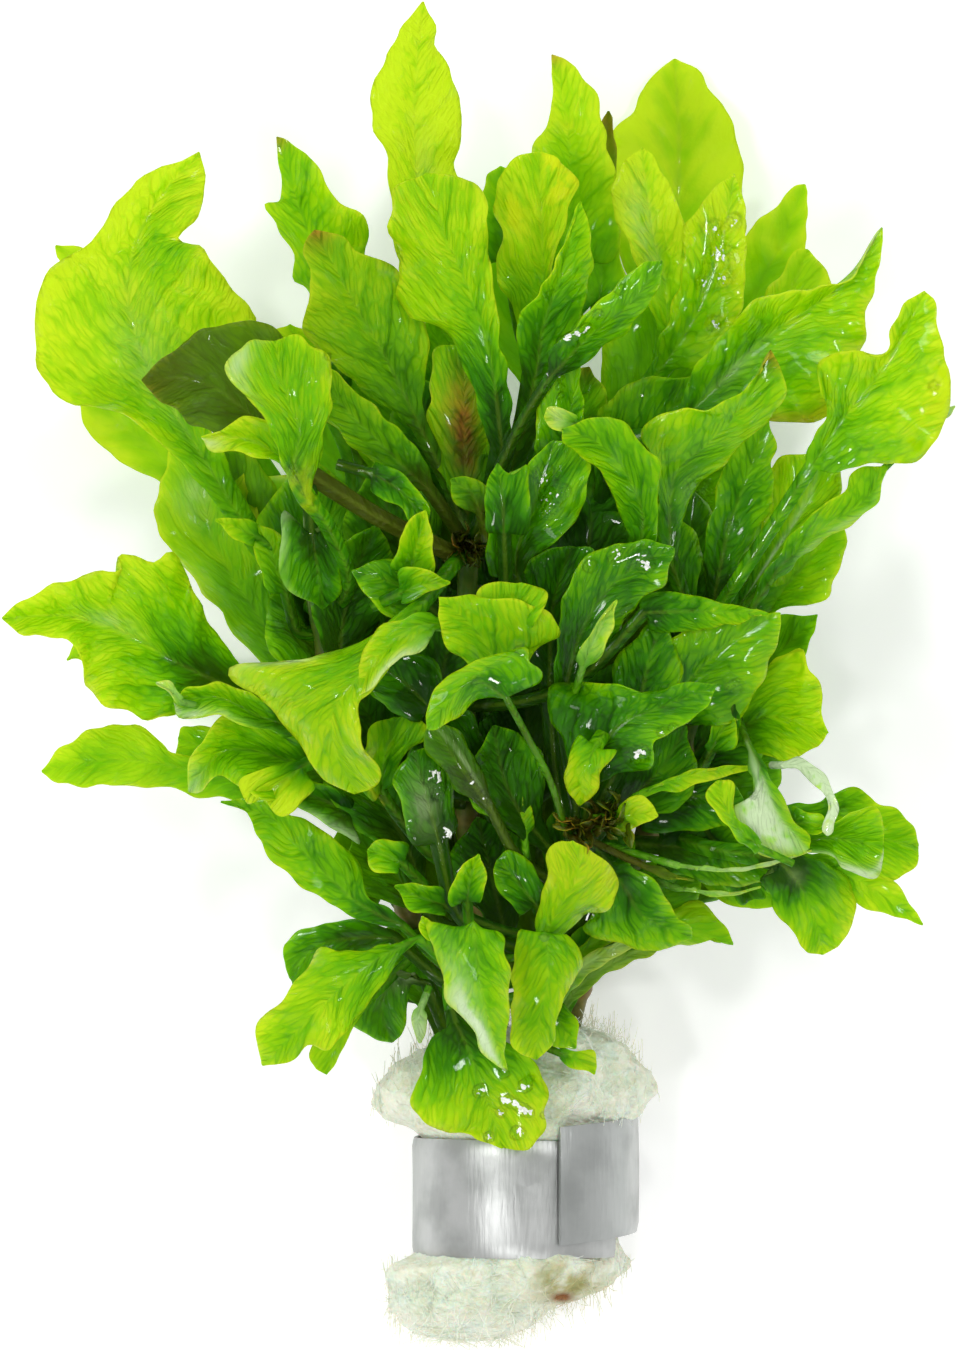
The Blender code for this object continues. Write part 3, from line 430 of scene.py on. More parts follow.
        (42, 55, -1), (1, -1), 4, 0.74, 0, 0.25, 0.8),
    "leaf_front_drooping": (
        [(10.4, -18), (8.6, -12.4), (6.2, -7.8), (3.4, -2.6), (0, -0.8), (-3.2, -2.8), (-5.9, -6.5)],
        [(1, -2.7), (-0.4, -3.2), (-2.4, -4.7), (-4.6, -6.4)],
        [(7.2, -1), (7.9, 0.4), (6.4, 1.6), (5.8, 3.2), (2, 2.2), (-0.4, 1.8), (-2.8, 0.4),
         (-4.9, -1.8), (-6, -4.6)], (46, 57, 5), (-2, -1), 4, 0.6, 0, 0.6, 0.6),
    "leaf_front_wide": ([(13, -16), (13.2, -13.6), (14, -10), (17, -6), (22, -3.8), (28.6, -1.2)],
        [(10.7, -13), (10.5, -8), (8.7, -5), (8.5, -1.5), (13, -1), (16.5, -1), (20, -2.1), (25, -0.9)],
        [(14.3, -13), (17, -11.5), (20.5, -11), (21.5, -8), (24.5, -6), (27.3, -3.5)],
        (44.8, 49, 1), (-2, 1), 2, 0.36, 0, 0.6, 0.9),
    "leaf_gloss_dark": ([(11.5, -13.5), (10, -4), (12, 4), (15, 9.5), (19, 13), (23.5, 15.2)],
        [(9.5, 4), (10.5, 9), (11.5, 12.3), (15, 15.3), (20, 16)],
        [(14, 1), (16.2, 4.5), (18.5, 7.5), (22, 11), (23.4, 13.7)],
        (39, 47, 1), (2, -2), 2, 0.38, 0, 0.8, 0.7),
    "leaf_spoon": ([(5.4, 10), (4.6, 12), (4.8, 15), (6.6, 20), (9.2, 28)],
        [(1.4, 12.4), (1.2, 17.4), (1.6, 21.6), (3.6, 24), (6, 24.8), (8, 27.2)],
        [(6.6, 14), (8.4, 15.4), (10.6, 17), (12.6, 20), (13.2, 24.2), (11.6, 27.4)],
        (42, 49, 1), (2, 2), 2, 0.44, 0, 0.6, 0.7),
    "leaf_bright_bent": (
        [(1.5, 10), (10, 8), (18, 12), (19.8, 18), (18, 23.6), (14.4, 27.6), (10.2, 29.2)],
        [(18, 15.8), (16.8, 19.8), (15.2, 23.4), (12.8, 25.8), (10.4, 27.6)],
        [(21.6, 17), (21.4, 20.6), (22, 23.9), (21.6, 25.6), (20, 27), (18.4, 29), (16.8, 30.4),
         (14.4, 30.8), (12, 30)], (34, 57, -1), (-2, 1), 3, 0.52, 0, 0.3, 0.6),
    "leaf_orange_point": ([(25.5, 7), (23, 14), (23.5, 23.5), (28, 28), (32, 32.5), (35, 38.7)],
        [(21, 25), (19.7, 28.2), (20.4, 30.2), (22.8, 31.4), (25.2, 31.8), (27.6, 31.5), (29.4, 32.6),
         (32, 34.2), (34.6, 37.6)],
        [(25.6, 21.8), (28.2, 24), (31, 26.8), (33.4, 29.2), (35, 30.7), (36.8, 33.8), (36.4, 36)],
        (35, 48, 1), (2, -1), 2, 0.64, 0, 0.6, 0.7),
    "leaf_right_upper": ([(28.5, 5), (28.5, 10), (30, 17), (32, 23), (34.8, 30.7)],
        [(27, 15), (28.5, 22), (31, 27.5)], [(32.5, 15), (35.4, 21), (35.5, 25), (35.4, 28.6)],
        (32, 38, 0), (1, -1), 2, 0.52, 0, 0.3, 0.6),
    "leaf_right_ribbed": ([(28, 0), (31.8, 8.8), (35.2, 14), (38.7, 19.3), (40.6, 23.5), (41, 26.6)],
        [(33.2, 14), (34.3, 20), (34.2, 23.8), (36.8, 26.2)],
        [(34.4, 10.6), (37.4, 14.8), (40.6, 19), (43.2, 21.8), (43.3, 25)],
        (27, 32, 0), (1, 0.5), 2, 0.76, 0, 0.3, 0.7),
    "leaf_right_twisted": (
        [(30.2, 2.5), (33.2, 8.5), (36.8, 13.4), (41.6, 17.6), (46.2, 20.8), (49.1, 25)],
        [(35.6, 14), (39.6, 19.2), (43.7, 22), (44.7, 24.6)],
        [(37, 12.5), (41.9, 16.7), (46.9, 19.3), (48.1, 22)],
        (33, 37, 0), (1, -1), 2, 0.6, 0, 0.3, 0.7),
    "leaf_right_side": ([(25, -9), (29, -4), (33, 0), (37, 3.5), (40.8, 7.2)], [(31, 4), (35.8, 7)],
        [(36, -2), (39, 2), (40.3, 5.5)], (21, 28, 0), (-1, 1), 2, 0.42, 0, 0.2, 0.5),
    "leaf_right_bright": ([(27.4, -8.8), (29.5, -7.6), (32, -6), (36, -5), (42, -6.9)],
        [(34.2, 0), (36.4, 2.2), (38.8, 3), (39.6, 0.5), (41.2, -1), (41.3, -4.8)],
        [(32.5, -9), (36, -10.2), (38, -10.2), (40.8, -9)], (28, 34, 0), (2, 1), 2, 0.88, 0, 0.25, 0.9),
    "leaf_right_big": ([(19, -12), (22, -5), (26, 0), (31, 4.5), (36.2, 7.4)],
        [(21, 1), (24, 5), (29, 6.6), (33, 7.6)],
        [(26, -6), (30.8, -5.6), (33.1, -2.6), (35.3, 1.7), (36.2, 5)],
        (36, 42, 0), (1.5, -1.5), 2, 0.6, 0, 0.9, 0.7),
    "leaf_white_backed": ([(31, -3.5), (31.6, -6), (32.8, -9), (34.4, -13), (36, -17), (39.6, -20.8)],
        [(34.2, -10.4), (35.8, -13.2), (37.6, -16.8), (39.6, -19.2)],
        [(32.6, -11.2), (33, -14), (32, -15.2), (30.4, -16), (31, -18.6), (33, -20.8), (35.8, -22),
         (38, -21.8)], (33, 44, 4), (-1, 2), 3, 0.66, 0, 0.4, 0.2),
    "leaf_right_round": ([(28, -15), (36, -17), (43, -18), (48, -19.5), (53, -20.5)],
        [(39.2, -15.4), (41.3, -15.2), (42.5, -14), (45, -13.6), (48, -15), (50.6, -16.4),
         (52.3, -18.4)], [(43, -21), (47, -24), (50.3, -24.3), (52.7, -22.7)],
        (26, 28, 1), (2, 2), 2, 0.66, 0, 0.2, 0.7),
    "leaf_right_drooping": ([(29, -21), (36, -22), (38.5, -25), (40.5, -29), (41.5, -33.6)],
        [(42, -22.6), (44.8, -25), (45.3, -28.5), (43.7, -32)],
        [(34.3, -24.5), (35.5, -27.8), (37.2, -30), (39, -32.6)],
        (34, 28, 3), (-2, -2), 2, 0.8, 0, 0.3, 0.6),
    "leaf_low_right": ([(14.5, -21), (16, -23), (18, -26), (20, -29), (25.7, -31.5)],
        [(18, -22.5), (21.5, -25), (23.5, -28.5), (25.5, -30.2)],
        [(15.5, -25), (13.5, -29), (12.5, -30.5), (16, -32), (21, -32.9), (24, -32.2)],
        (39, 33, 1), (1, -2), 2, 0.66, 0, 0.35, 0.7),
    "leaf_bright_knob": ([(7.4, -36), (7.6, -33), (8.8, -29.6), (11, -26), (12.2, -23), (11.4, -19.9)],
        [(7.5, -27.6), (8.3, -24.5), (8.4, -21.8), (9.8, -20.1)],
        [(12.6, -28.8), (15.4, -28.2), (16.8, -25.6), (16.2, -23), (13.8, -21)],
        (37, 50, 0), (-2, -2), 2, 0.9, 0, 0.2, 0.6),
    "leaf_low_left_bright": (
        [(-3, -35), (-7, -31.5), (-12, -34), (-17, -38), (-21, -42), (-25.8, -46.8)],
        [(-11, -36), (-14.5, -41), (-17.5, -44.6), (-20, -44.3), (-23, -46.2)],
        [(-12.5, -32.8), (-16, -33.2), (-18.5, -32.7), (-20.8, -35), (-23.6, -39), (-26.2, -42.3)],
        (38, 33, 3), (-1, -2), 2, 0.77, 0, 0.2, 0.9),
    "leaf_low_left_dark": ([(-5, -36), (-10, -31.5), (-14, -31.5), (-19, -32.5), (-22.5, -36.5)],
        [(-14, -34), (-18, -35.5), (-21.5, -37.3)],
        [(-13, -29.9), (-18, -29.9), (-22, -31.3), (-23.3, -33.5)],
        (31, 28, 1), (-1, 1), 2, 0.4, 0, 0.3, 0.6),
    "leaf_long_low_left": (
        [(-5, -34), (-9, -30), (-14, -27.5), (-18, -24), (-22.6, -19.4), (-25, -17), (-30.8, -15.2)],
        [(-15, -28.7), (-20, -26), (-24, -22.8), (-26.2, -19.8), (-27, -17.6), (-28.8, -16.2)],
        [(-13, -26.5), (-13.9, -23), (-16, -20.8), (-18.4, -18.5), (-21.4, -17.5), (-26, -14.8)],
        (35, 30, 0), (-1, 1), 2, 0.66, 0, 0.15, 0.8),
    "leaf_white_underside": ([(0.5, -36), (0, -32), (-0.5, -29.3), (0, -34), (1, -40), (3.5, -47.2)],
        [(2.5, -30.5), (3.7, -34), (3.6, -40), (3.4, -45)],
        [(-4.8, -29.6), (-6, -31), (-4.6, -34.5), (-3.5, -39), (-1.2, -41.5), (1, -45.5)],
        (46, 50, 5), (-2, -3), 2, 0.72, 0, 0.3, 0.4),
    "leaf_hanging_right": ([(8.5, -40), (8, -34), (8, -30.5), (8.5, -35), (7.5, -41), (7, -46)],
        [(10.7, -31), (12.7, -34.5), (11, -37.2), (9.7, -40), (8.8, -44)],
        [(5.5, -30.5), (4.2, -35), (3.9, -40), (4.5, -44.5)],
        (38, 42, 4), (-2, -2), 2, 0.8, 0, 0.2, 0.8),
    "leaf_over_band": ([(-3, -40), (-2.5, -42), (-1, -45), (0.5, -49), (3, -56.8)],
        [(1, -43), (6, -45.5), (8.3, -50), (8.2, -54), (6, -56.7)],
        [(-5.5, -43.5), (-6.6, -47), (-8, -51.2), (-5.5, -54.2), (-1, -55.3)],
        (32, 31, 1), (-0.5, -0.5), 2, 0.82, 0, 0.2, 0.9),
    "leaf_under_left": ([(-10, -16), (-16, -11), (-24, -5), (-32, -1), (-41, 3)],
        [(-24, -8), (-32, -4.4), (-39, -1.5)], [(-22, -1), (-28.5, 0.5), (-36, 5.5)],
        (17, 0.5, -3), (1, -1), 2, 0.6, 0, 0.1, 0.3),
    "leaf_under_top_left": ([(-8, 4), (-12, 14), (-16, 24), (-20, 32), (-24.5, 40.5)],
        [(-20, 20), (-25.5, 28), (-27.4, 35)], [(-10, 24), (-13, 32), (-19, 39)],
        (18, 0.5, -3), (1.5, 1), 2, 0.6, 0, 0.1, 0.3),
    "leaf_under_top_right": ([(9, 14), (9, 24), (8, 34), (6, 45), (7, 58)],
        [(5, 30), (4.8, 36), (-1, 42), (1, 53)], [(12.2, 32), (12.2, 38), (12.8, 43), (11, 53)],
        (16, 0.5, -3), (1, 1), 2, 0.6, 0, 0.1, 0.3),
    "leaf_under_right": ([(21, -16), (25.5, -9), (30, -3), (34, 2), (37.6, 5.4)],
        [(25, -1), (28.5, 4), (33.5, 6.4)], [(33.5, -7), (37, -3), (38.8, 1.5)],
        (19, 0.5, -3), (1, 2), 2, 0.6, 0, 0.1, 0.3),
}
# Where water on the leaves glints: place across and along, reach, and how much water there is. Where
# there is much, white highlights are painted on.
GLINTS = [
    (28.2, 53.4, 1.0, 4.6), (28.9, 50.4, 1.0, 4.6), (29.4, 47.6, 0.9, 4.6), (30.8, 54.4, 0.8, 4.6),
    (28.6, 42, 0.9, 5), (27.2, 47, 0.8, 5), (8, 23.6, 1.3, 4.6), (8.6, 21, 1.4, 4), (8.7, 19.4, 0.8, 4),
    (10.4, 22, 0.8, 3), (-5.4, -12, 1.0, 3.8), (-4.6, -14, 0.8, 3.8), (-3.6, -18.6, 0.9, 3.8),
    (9.8, 35.6, 0.35, 6), (9.9, 34.4, 0.35, 6), (10, 33.3, 0.3, 6), (8.4, 36, 0.3, 5),
    (8.4, 34.4, 0.3, 5), (29, 50, 3.0, 1.6), (26.4, 21.8, 2.2, 3), (30.4, 17.8, 1.0, 3),
    (16.5, 14.4, 1.0, 4), (19.2, 14, 1.2, 4.6), (20.2, 13, 0.8, 4.6), (13.4, 13, 0.7, 4.2),
    (18, 7.4, 1.0, 2.5), (10, 39.9, 0.5, 6), (11, 40.4, 0.5, 7), (12, 40.8, 0.5, 7), (13, 41.3, 0.5, 7),
    (14.4, 43, 0.5, 5), (17, 46, 0.6, 4), (18.8, -9.6, 0.9, 5), (19.8, -9.2, 0.7, 5),
    (22, -6.8, 0.5, 4.6), (23.4, -6.3, 0.5, 4.6), (-12.8, -9.5, 0.9, 3), (-4.3, -12, 1.2, 3),
    (-0.6, -12.8, 0.9, 4), (0.6, -14.8, 0.9, 4), (0.6, -10, 0.7, 4), (-3.2, -19.2, 0.8, 4),
    (0, -0.8, 0.9, 2.5), (2, -1, 0.9, 2.5), (5.2, 3, 0.8, 3), (13.5, -28.6, 1.1, 4.4),
    (16.8, -17.5, 1.0, 3.6), (33, -14.3, 0.6, 3), (54.5, 34.5, 0.8, 3), (-22, 24, 1.3, 3),
    (-17.9, 38, 0.6, 3), (0.3, 16.2, 0.6, 4), (1, 14, 0.6, 4), (-14.4, 25, 0.9, 2.5),
    (0.4, -49.8, 0.7, 8), (3.4, -50.9, 0.5, 11), (4.4, -51.4, 0.5, 11), (5.4, -52, 0.5, 11),
    (6.2, -52.5, 0.45, 11), (2.8, -52.5, 0.5, 8), (5.7, -49.3, 0.6, 9), (3.1, -47.7, 0.7, 5),
    (6.2, -48.4, 0.4, 6), (4.8, -54.9, 0.8, 6), (1.4, -55.4, 0.6, 6), (8, -52.7, 0.4, 7),
    (30.7, -1.4, 1.0, 2.5), (-13, 16, 1.2, 2), (43.4, 23.4, 0.7, 3),
]
# Where a leaf's colour departs from the rest of it: what changes, how far along the blade and how
# far across from the rib the middle of the change is, as shares, its reach both ways, and how much.
# A 'dark' mark is painted shade, in folds and where leaves crowd at their bases.
MARKS = {
    "leaf_yellow_spotted": [("yellow", 0.85, -0.65, 0.16, 0.5, 1.9),
                            ("yellow", 0.68, 0.6, 0.12, 0.35, 1.2),
                            ("yellow", 0.5, -0.4, 0.1, 0.25, 0.9), ("red", 0.42, -0.7, 0.08, 0.2, 0.3)],
    "leaf_pointed_back": [("red", 1.0, 0, 0.06, 2, 0.7)],
    "leaf_bright_back": [("silver", 0.55, 0.3, 0.3, 0.5, 0.5)],
    "leaf_red_ribbed": [("red", 0.42, 0, 0.45, 0.6, 1.2), ("dark", 0.95, 0, 0.3, 2, 0.3)],
    "leaf_red_tipped": [("red", 1.0, 0, 0.05, 2, 0.8)],
    "leaf_orange_tipped": [("red", 1.0, 0, 0.09, 2, 0.9)],
    "leaf_orange_point": [("red", 1.0, 0, 0.09, 2, 0.9)],
    "leaf_olive_brown": [("red", 0.95, 0, 0.18, 2, 0.6), ("red", 0.0, 0, 0.3, 2, 0.45),
                         ("dark", 0.0, 0, 0.3, 2, 0.25)],
    "leaf_olive_narrow": [("red", 0.0, 0, 0.12, 2, 0.5)],
    "leaf_front_curled": [("silver", 0.75, 0.85, 0.2, 0.25, 0.8), ("yellow", 0.05, 0, 0.15, 2, 0.5)],
    "leaf_giant_left": [("dark", 0.68, -0.55, 0.1, 0.4, 0.35), ("silver", 0.35, 0, 0.25, 0.3, 0.35),
                        ("yellow", 0.45, 0.8, 0.15, 0.25, 0.35)],
    "leaf_two_lobed": [("yellow", 0.55, -0.85, 0.2, 0.2, 0.4)],
    "leaf_right_ribbed": [("silver", 0.3, 0, 0.6, 0.12, 1.0)],
    "leaf_right_twisted": [("silver", 0.55, -0.7, 0.4, 0.35, 0.5)],
    "leaf_horned": [("red", 0.3, -0.95, 0.3, 0.12, 0.5), ("silver", 0.93, 0.6, 0.1, 0.6, 1.1),
                    ("silver", 0.25, 0, 0.15, 0.15, 0.5)],
    "leaf_long_left": [("silver", 0.8, 0.2, 0.12, 0.4, 0.5)],
    "leaf_top_wavy": [("dark", 0.0, 0, 0.4, 2, 0.4)],
    "leaf_top_tall": [("silver", 0.45, -0.2, 0.15, 0.3, 0.4)],
    "leaf_left_lobed": [("dark", 0.14, 0.05, 0.22, 0.8, 0.6), ("silver", 0.6, -0.1, 0.12, 0.15, 0.5)],
    "leaf_left_cupped": [("silver", 0.95, 0, 0.12, 2, 0.7)],
    "leaf_white_backed": [("silver", 0.5, -0.4, 0.5, 0.6, 1.5)],
    "leaf_front_left": [("silver", 0.4, -0.95, 0.12, 0.15, 1.0)],
    "leaf_white_underside": [("silver", 0.75, -0.6, 0.32, 0.45, 1.5)],
    "leaf_right_drooping": [("dark", 0.12, 0, 0.42, 2, 0.6), ("silver", 0.22, 0.1, 0.1, 0.25, 0.35)],
    "leaf_low_right": [("dark", 0.35, 0.4, 0.4, 0.8, 0.3)],
    "leaf_over_band": [("dark", 0.1, 0, 0.3, 2, 0.35)],
    "leaf_right_bright": [("dark", 0.2, -0.2, 0.3, 0.5, 0.35)],
}
GREENS = [(0.0, (0.006, 0.064, 0.000)), (0.3, (0.046, 0.280, 0.000)), (0.55, (0.190, 0.550, 0.000)),
          (0.8, (0.430, 0.730, 0.002)), (1.0, (0.690, 0.850, 0.016))]
OLIVE = (0.105, 0.135, 0.010)
YELLOW = (0.78, 0.84, 0.01)
DARK_RUST, LIGHT_RUST = (0.070, 0.028, 0.002), (0.55, 0.19, 0.03)
RIB_GREEN = (0.42, 0.60, 0.04)
# The underside's pale and silvery greens; a 'silver' mark also uses them for a painted sheen on wet
# patches.
PALE_GREEN, SILVER = (0.36, 0.56, 0.12), (0.54, 0.69, 0.40)
# The white of the highlights painted where water glints.
PAINTED_GLINT_WHITE = (0.94, 0.97, 0.90)
THROUGH_GREEN = (0.70, 0.95, 0.002)
UNDERSIDE_PALENESS = 0.22
LIGHT_THROUGH = 0.5


def leaf_finish(name, paleness):
    """The two sides of a leaf differ only in how pale and silvery they are."""
    finish = Finish(name, {"IOR": 1.42, "Coat Roughness": 0.06, "Specular IOR Level": 0.16})
    where, along, across, share = finish.written("place")
    _, light, olive, silver = finish.written("tone")
    _, wet, red, yellow = finish.written("wear")
    near = finish.written("far")[1]
    # Slanted side veins, the fine net between them, and folds and lines that fan out from the rib.
    drift = finish.speckle(where, 0.16, 2)
    side = abs(across)
    slanted = along - side * VEIN_SLANT + (drift - 0.5) * 5.0
    branch = abs((slanted * (1 / VEIN_SPACING) + across.rise(-0.01, 0.01) * 0.5).part() - 0.5)
    branches = 1 - branch.rise(0.01, 0.10)
    net = 1 - finish.node("ShaderNodeTexVoronoi", {"feature": "DISTANCE_TO_EDGE"},
                          {"Vector": finish.together(slanted, across, share),
                           "Scale": 0.8})["Distance"].rise(0.0, 0.24)
    fan_place = finish.together(slanted, across * 0.18, share * 3)
    folds_and_painted_shade = finish.speckle(fan_place, 0.32, 1)
    fan = finish.speckle(fan_place, 1.5, 2)
    rib = (1 - side.rise(0.08, 0.42)) * (1 - share * 0.75)
    # How light each point is, then the greens, and over them the olive, yellow, red and pale parts.
    mottle = finish.speckle(where, 0.55, 3)
    lines = (fan - 0.5) * 0.15 - net * 0.14 - branches * 0.10
    # The folds paint their light and shade into the colour as well as into the bump.
    depth = (light + (mottle - 0.5) * 0.22 + (drift - 0.5) * 0.42 + (folds_and_painted_shade - 0.5) * 0.38
             + lines * near)
    ground = finish.node("ShaderNodeValToRGB", {"stops": GREENS}, {"Fac": depth})["Color"]
    ground = finish.mix(olive, ground, OLIVE)
    ground = finish.mix(yellow * mottle.rise(0.35, 0.6), ground, YELLOW)
    rust = finish.mix(depth.rise(0.3, 0.95), DARK_RUST, LIGHT_RUST)
    ground = finish.mix(red * (mottle + 0.35), ground, rust)
    plain = finish.mix(rib * 0.15, ground, RIB_GREEN)
    pale = silver * mottle.rise(0.2, 0.55) * 0.85 + paleness * (1 - silver)
    ground = finish.mix(pale, plain, finish.mix(silver, PALE_GREEN, SILVER))
    # Water: a thin film in patches, a ripple where it stands, and painted white highlights where it
    # glints.
    film = (finish.speckle(where, 0.45, 2) + wet * 0.32).rise(0.60, 0.70)
    painted_glint = (finish.speckle(where, 2.0, 1) + wet * 0.10).rise(1.04, 1.09)
    ripple = finish.speckle(where, 2.2, 1)
    shine = wet.rise(1.2, 2.6)
    relief = (((1 - branches) * 0.6 + (1 - net) * 0.5 + fan) * near + folds_and_painted_shade * 3.2
              + ripple * (shine * 5.0 + 0.3))
    finish.feed(finish.shader, {
        "Base Color": finish.mix(painted_glint, ground, PAINTED_GLINT_WHITE),
        "Roughness": 0.42 - film * 0.30,
        "Coat Weight": film * 0.45 + shine * 0.5,
        "Normal": finish.bump(relief, 0.8, 0.00022)})
    finish.let_light_through(LIGHT_THROUGH - net * 0.06 - rib * 0.1 - silver * 0.3 - painted_glint * 0.5,
                             finish.mix(0.45, plain, THROUGH_GREEN))
    return finish.material


leaf_upper = leaf_finish("leaf_upper", 0.0)
leaf_underside = leaf_finish("leaf_underside", UNDERSIDE_PALENESS)


def reach_to_stem(base, ahead):
    """A curved run from the nearest stem to a leaf's base, so that the leaf grows from it."""
    every = np.vstack(stem_paths)
    apart = np.linalg.norm(every - base, axis=1)
    turned = 1 - (base - every) @ ahead / np.maximum(apart, 0.5)
    root = every[np.argmin(apart * (1 + 1.3 * turned))]
    gap = np.linalg.norm(base - root)
    bend = base - ahead * gap * 0.4
    t = np.linspace(0, 1, REACH_ROWS, endpoint=False)[:, None]
    return root * (1 - t) ** 2 + 2 * bend * t * (1 - t) + base * t ** 2


def lean(path):
    """The unit vectors to the left of a path seen from above."""
    ahead = np.gradient(path, axis=0)
    left = np.column_stack([-ahead[:, 1], ahead[:, 0], np.zeros(len(path))])
    return left / np.maximum(np.linalg.norm(left, axis=1), 1e-6)[:, None]


def flat(points):
    return [(x, y, 0) for x, y in points]


def half_blade(edge, rib_line, out, raised, opened, waves, seed, sign, rng):
    """One half of a blade, from its rib to its margin, at the given shares of the way out."""
    margin = edge.copy()
    margin[:, 2] = rib_line[:, 2] + raised * opened
    width = np.linalg.norm(edge[:, :2] - rib_line[:, :2], axis=1)
    run = travelled(edge)
    wander, nibble, curl = [
        np.array([noise.noise(Vector((s * fineness, seed * spread, sign * far))) for s in run])
        for fineness, spread, far in (WANDER_NOISE, NIBBLE_NOISE, CURL_NOISE)]
    wave = np.sin(2 * math.pi * run / rng.uniform(*WAVE_LENGTHS) + rng.uniform(0, 6.28) + 3 * wander)
    wave *= waves * np.minimum(width / FULL_WIDTH, 1.3) * np.minimum(opened * 2.5, 1) * (0.75 + wander)
    outward = (margin - rib_line) / np.maximum(width, 0.5)[:, None]
    nibbled = outward * (nibble * NIBBLE * np.minimum(opened * 3, 1))[:, None]
    curled = curl * CURL * waves * np.minimum(width / FULL_WIDTH, 1.2) * np.minimum(opened * 3, 1)
    sheet = rib_line[:, None] + (margin - rib_line)[:, None] * out[None, :, None]
    sheet[:, :, 2] += width[:, None] * BELLY * (out * (1 - out))[None]
    sheet[:, :, 2] += wave[:, None] * (out ** 2.2)[None]
    sheet += nibbled[:, None] * (out ** 3)[None, :, None]
    sheet[:, :, 2] += curled[:, None] * (out ** 2)[None]
    return sheet


def two_faces(grid, v, along, across, share, slim, on_blade):
    """The upper and the lower face of a leaf, on either side of its grid."""
    down = np.cross(np.gradient(grid, axis=0), np.gradient(grid, axis=1))
    down /= np.maximum(np.linalg.norm(down, axis=2), 1e-9)[:, :, None]
    down *= -np.sign(down[:, :, 2:].mean())
    slanted = along[:, None] - np.abs(across) * VEIN_SLANT
    vein = np.abs((slanted / VEIN_SPACING + 0.5 * (across > 0)) % 1 - 0.5) * 2
    quilt = QUILT * np.minimum(vein * 2.2, 1) * on_blade * np.minimum(np.abs(across) / 2, 1)
    roundness = np.sqrt(np.clip(1 - v ** 2, 0, 1))[None]
    ridge = np.sqrt(np.clip(1 - (across / RIB_HALF_WIDTH) ** 2, 0, 1)) * (1 - share)[:, None]
    above = quilt + (1 - on_blade) * STALK_ABOVE * roundness - on_blade * ridge * RIB_GROOVE
    spread = np.abs(v)[None] ** 2
    below = BLADE_THICKNESS * (1 - spread) + EDGE_THICKNESS * spread
    below = below - quilt + (1 - on_blade) * STALK_BELOW * roundness + on_blade * ridge * RIB_RIDGE
    return grid - down * (above * slim)[:, :, None], grid + down * (below * slim)[:, :, None]


def closed_faces(tall, wide):
    """The faces of a leaf's upper side, its lower side and its rim, and which side each is on."""
    number = np.arange(tall * wide).reshape(tall, wide)
    quads = np.stack([number[:-1, :-1], number[1:, :-1], number[1:, 1:], number[:-1, 1:]], -1)
    quads = quads.reshape(-1, 4)
    rim = np.concatenate([number[:, 0], number[-1, 1:], number[-2::-1, -1], number[0, -2:0:-1]])
    rim_next = np.roll(rim, -1)
    beyond = tall * wide
    rim_quads = np.column_stack([rim, rim + beyond, rim_next + beyond, rim_next])
    which = np.repeat(np.array([0, 1, 0], np.int32), [len(quads), len(quads), len(rim)])
    return np.concatenate([quads, quads[:, ::-1] + beyond, rim_quads]), which


def write_colours(leaf, grid, v, along, across, share, on_blade, seed, marks, light, olive, wet):
    """Keeps what a leaf's finish reads: places, tones, wear and how near the top it is."""
    full = np.ones(grid.shape[:2])
    out_share = v[None] * full
    changes = {kind: np.zeros(grid.shape[:2]) for kind in ("silver", "red", "yellow", "dark")}
    for kind, place, out, reach_along, reach_out, amount in marks:
        spot = ((share[:, None] - place) / reach_along) ** 2 + ((out_share - out) / reach_out) ** 2
        started = (along >= (-2 if place > 0 else -99))[:, None]
        changes[kind] += amount * np.exp(-1.2 * spot) * started
    water = sum(much * np.exp(-((grid[..., 0] - x) ** 2 + (grid[..., 1] - y) ** 2) / reach ** 2)
                for x, y, reach, much in GLINTS)
    # The base is darker for its thicker tissue and with painted shade; 'dark' marks and the inside of the
    # bunch get painted shade, and the margin and rim painted light.
    base_dark = BASE_DARK * np.clip(1 - share * 1.7, 0, 1)[:, None]
    inside = np.exp(-((grid[..., 0] - DEEP_MIDDLE[0]) / DEEP_REACH[0]) ** 2
                    - ((grid[..., 1] - DEEP_MIDDLE[1]) / DEEP_REACH[1]) ** 2)
    deep_painted_shade = DEEP_PAINTED_SHADE * inside * np.clip((DEEP_TOP - grid[..., 2]) / DEEP_FALL, 0, 1)
    lightness = (light + 0.02 - base_dark + MARGIN_PAINTED_LIGHT * out_share ** 2 * on_blade
                 + RIM_PAINTED_LIGHT * (np.abs(out_share) > 0.99) * on_blade - changes["dark"] - deep_painted_shade)
    near = np.clip((grid[..., 2] - 14) / 16, 0.15, 1)
    for attribute, numbers in {
            "place": [along[:, None] + seed * 13.7 + 0 * full, across, share[:, None] * full],
            "tone": [lightness, olive * full, changes["silver"]],
            "wear": [wet + water, changes["red"], changes["yellow"]],
            "far": [near, near, near]}.items():
        write_down(leaf, attribute, np.tile(np.stack(numbers, -1).reshape(-1, 3), (2, 1)))


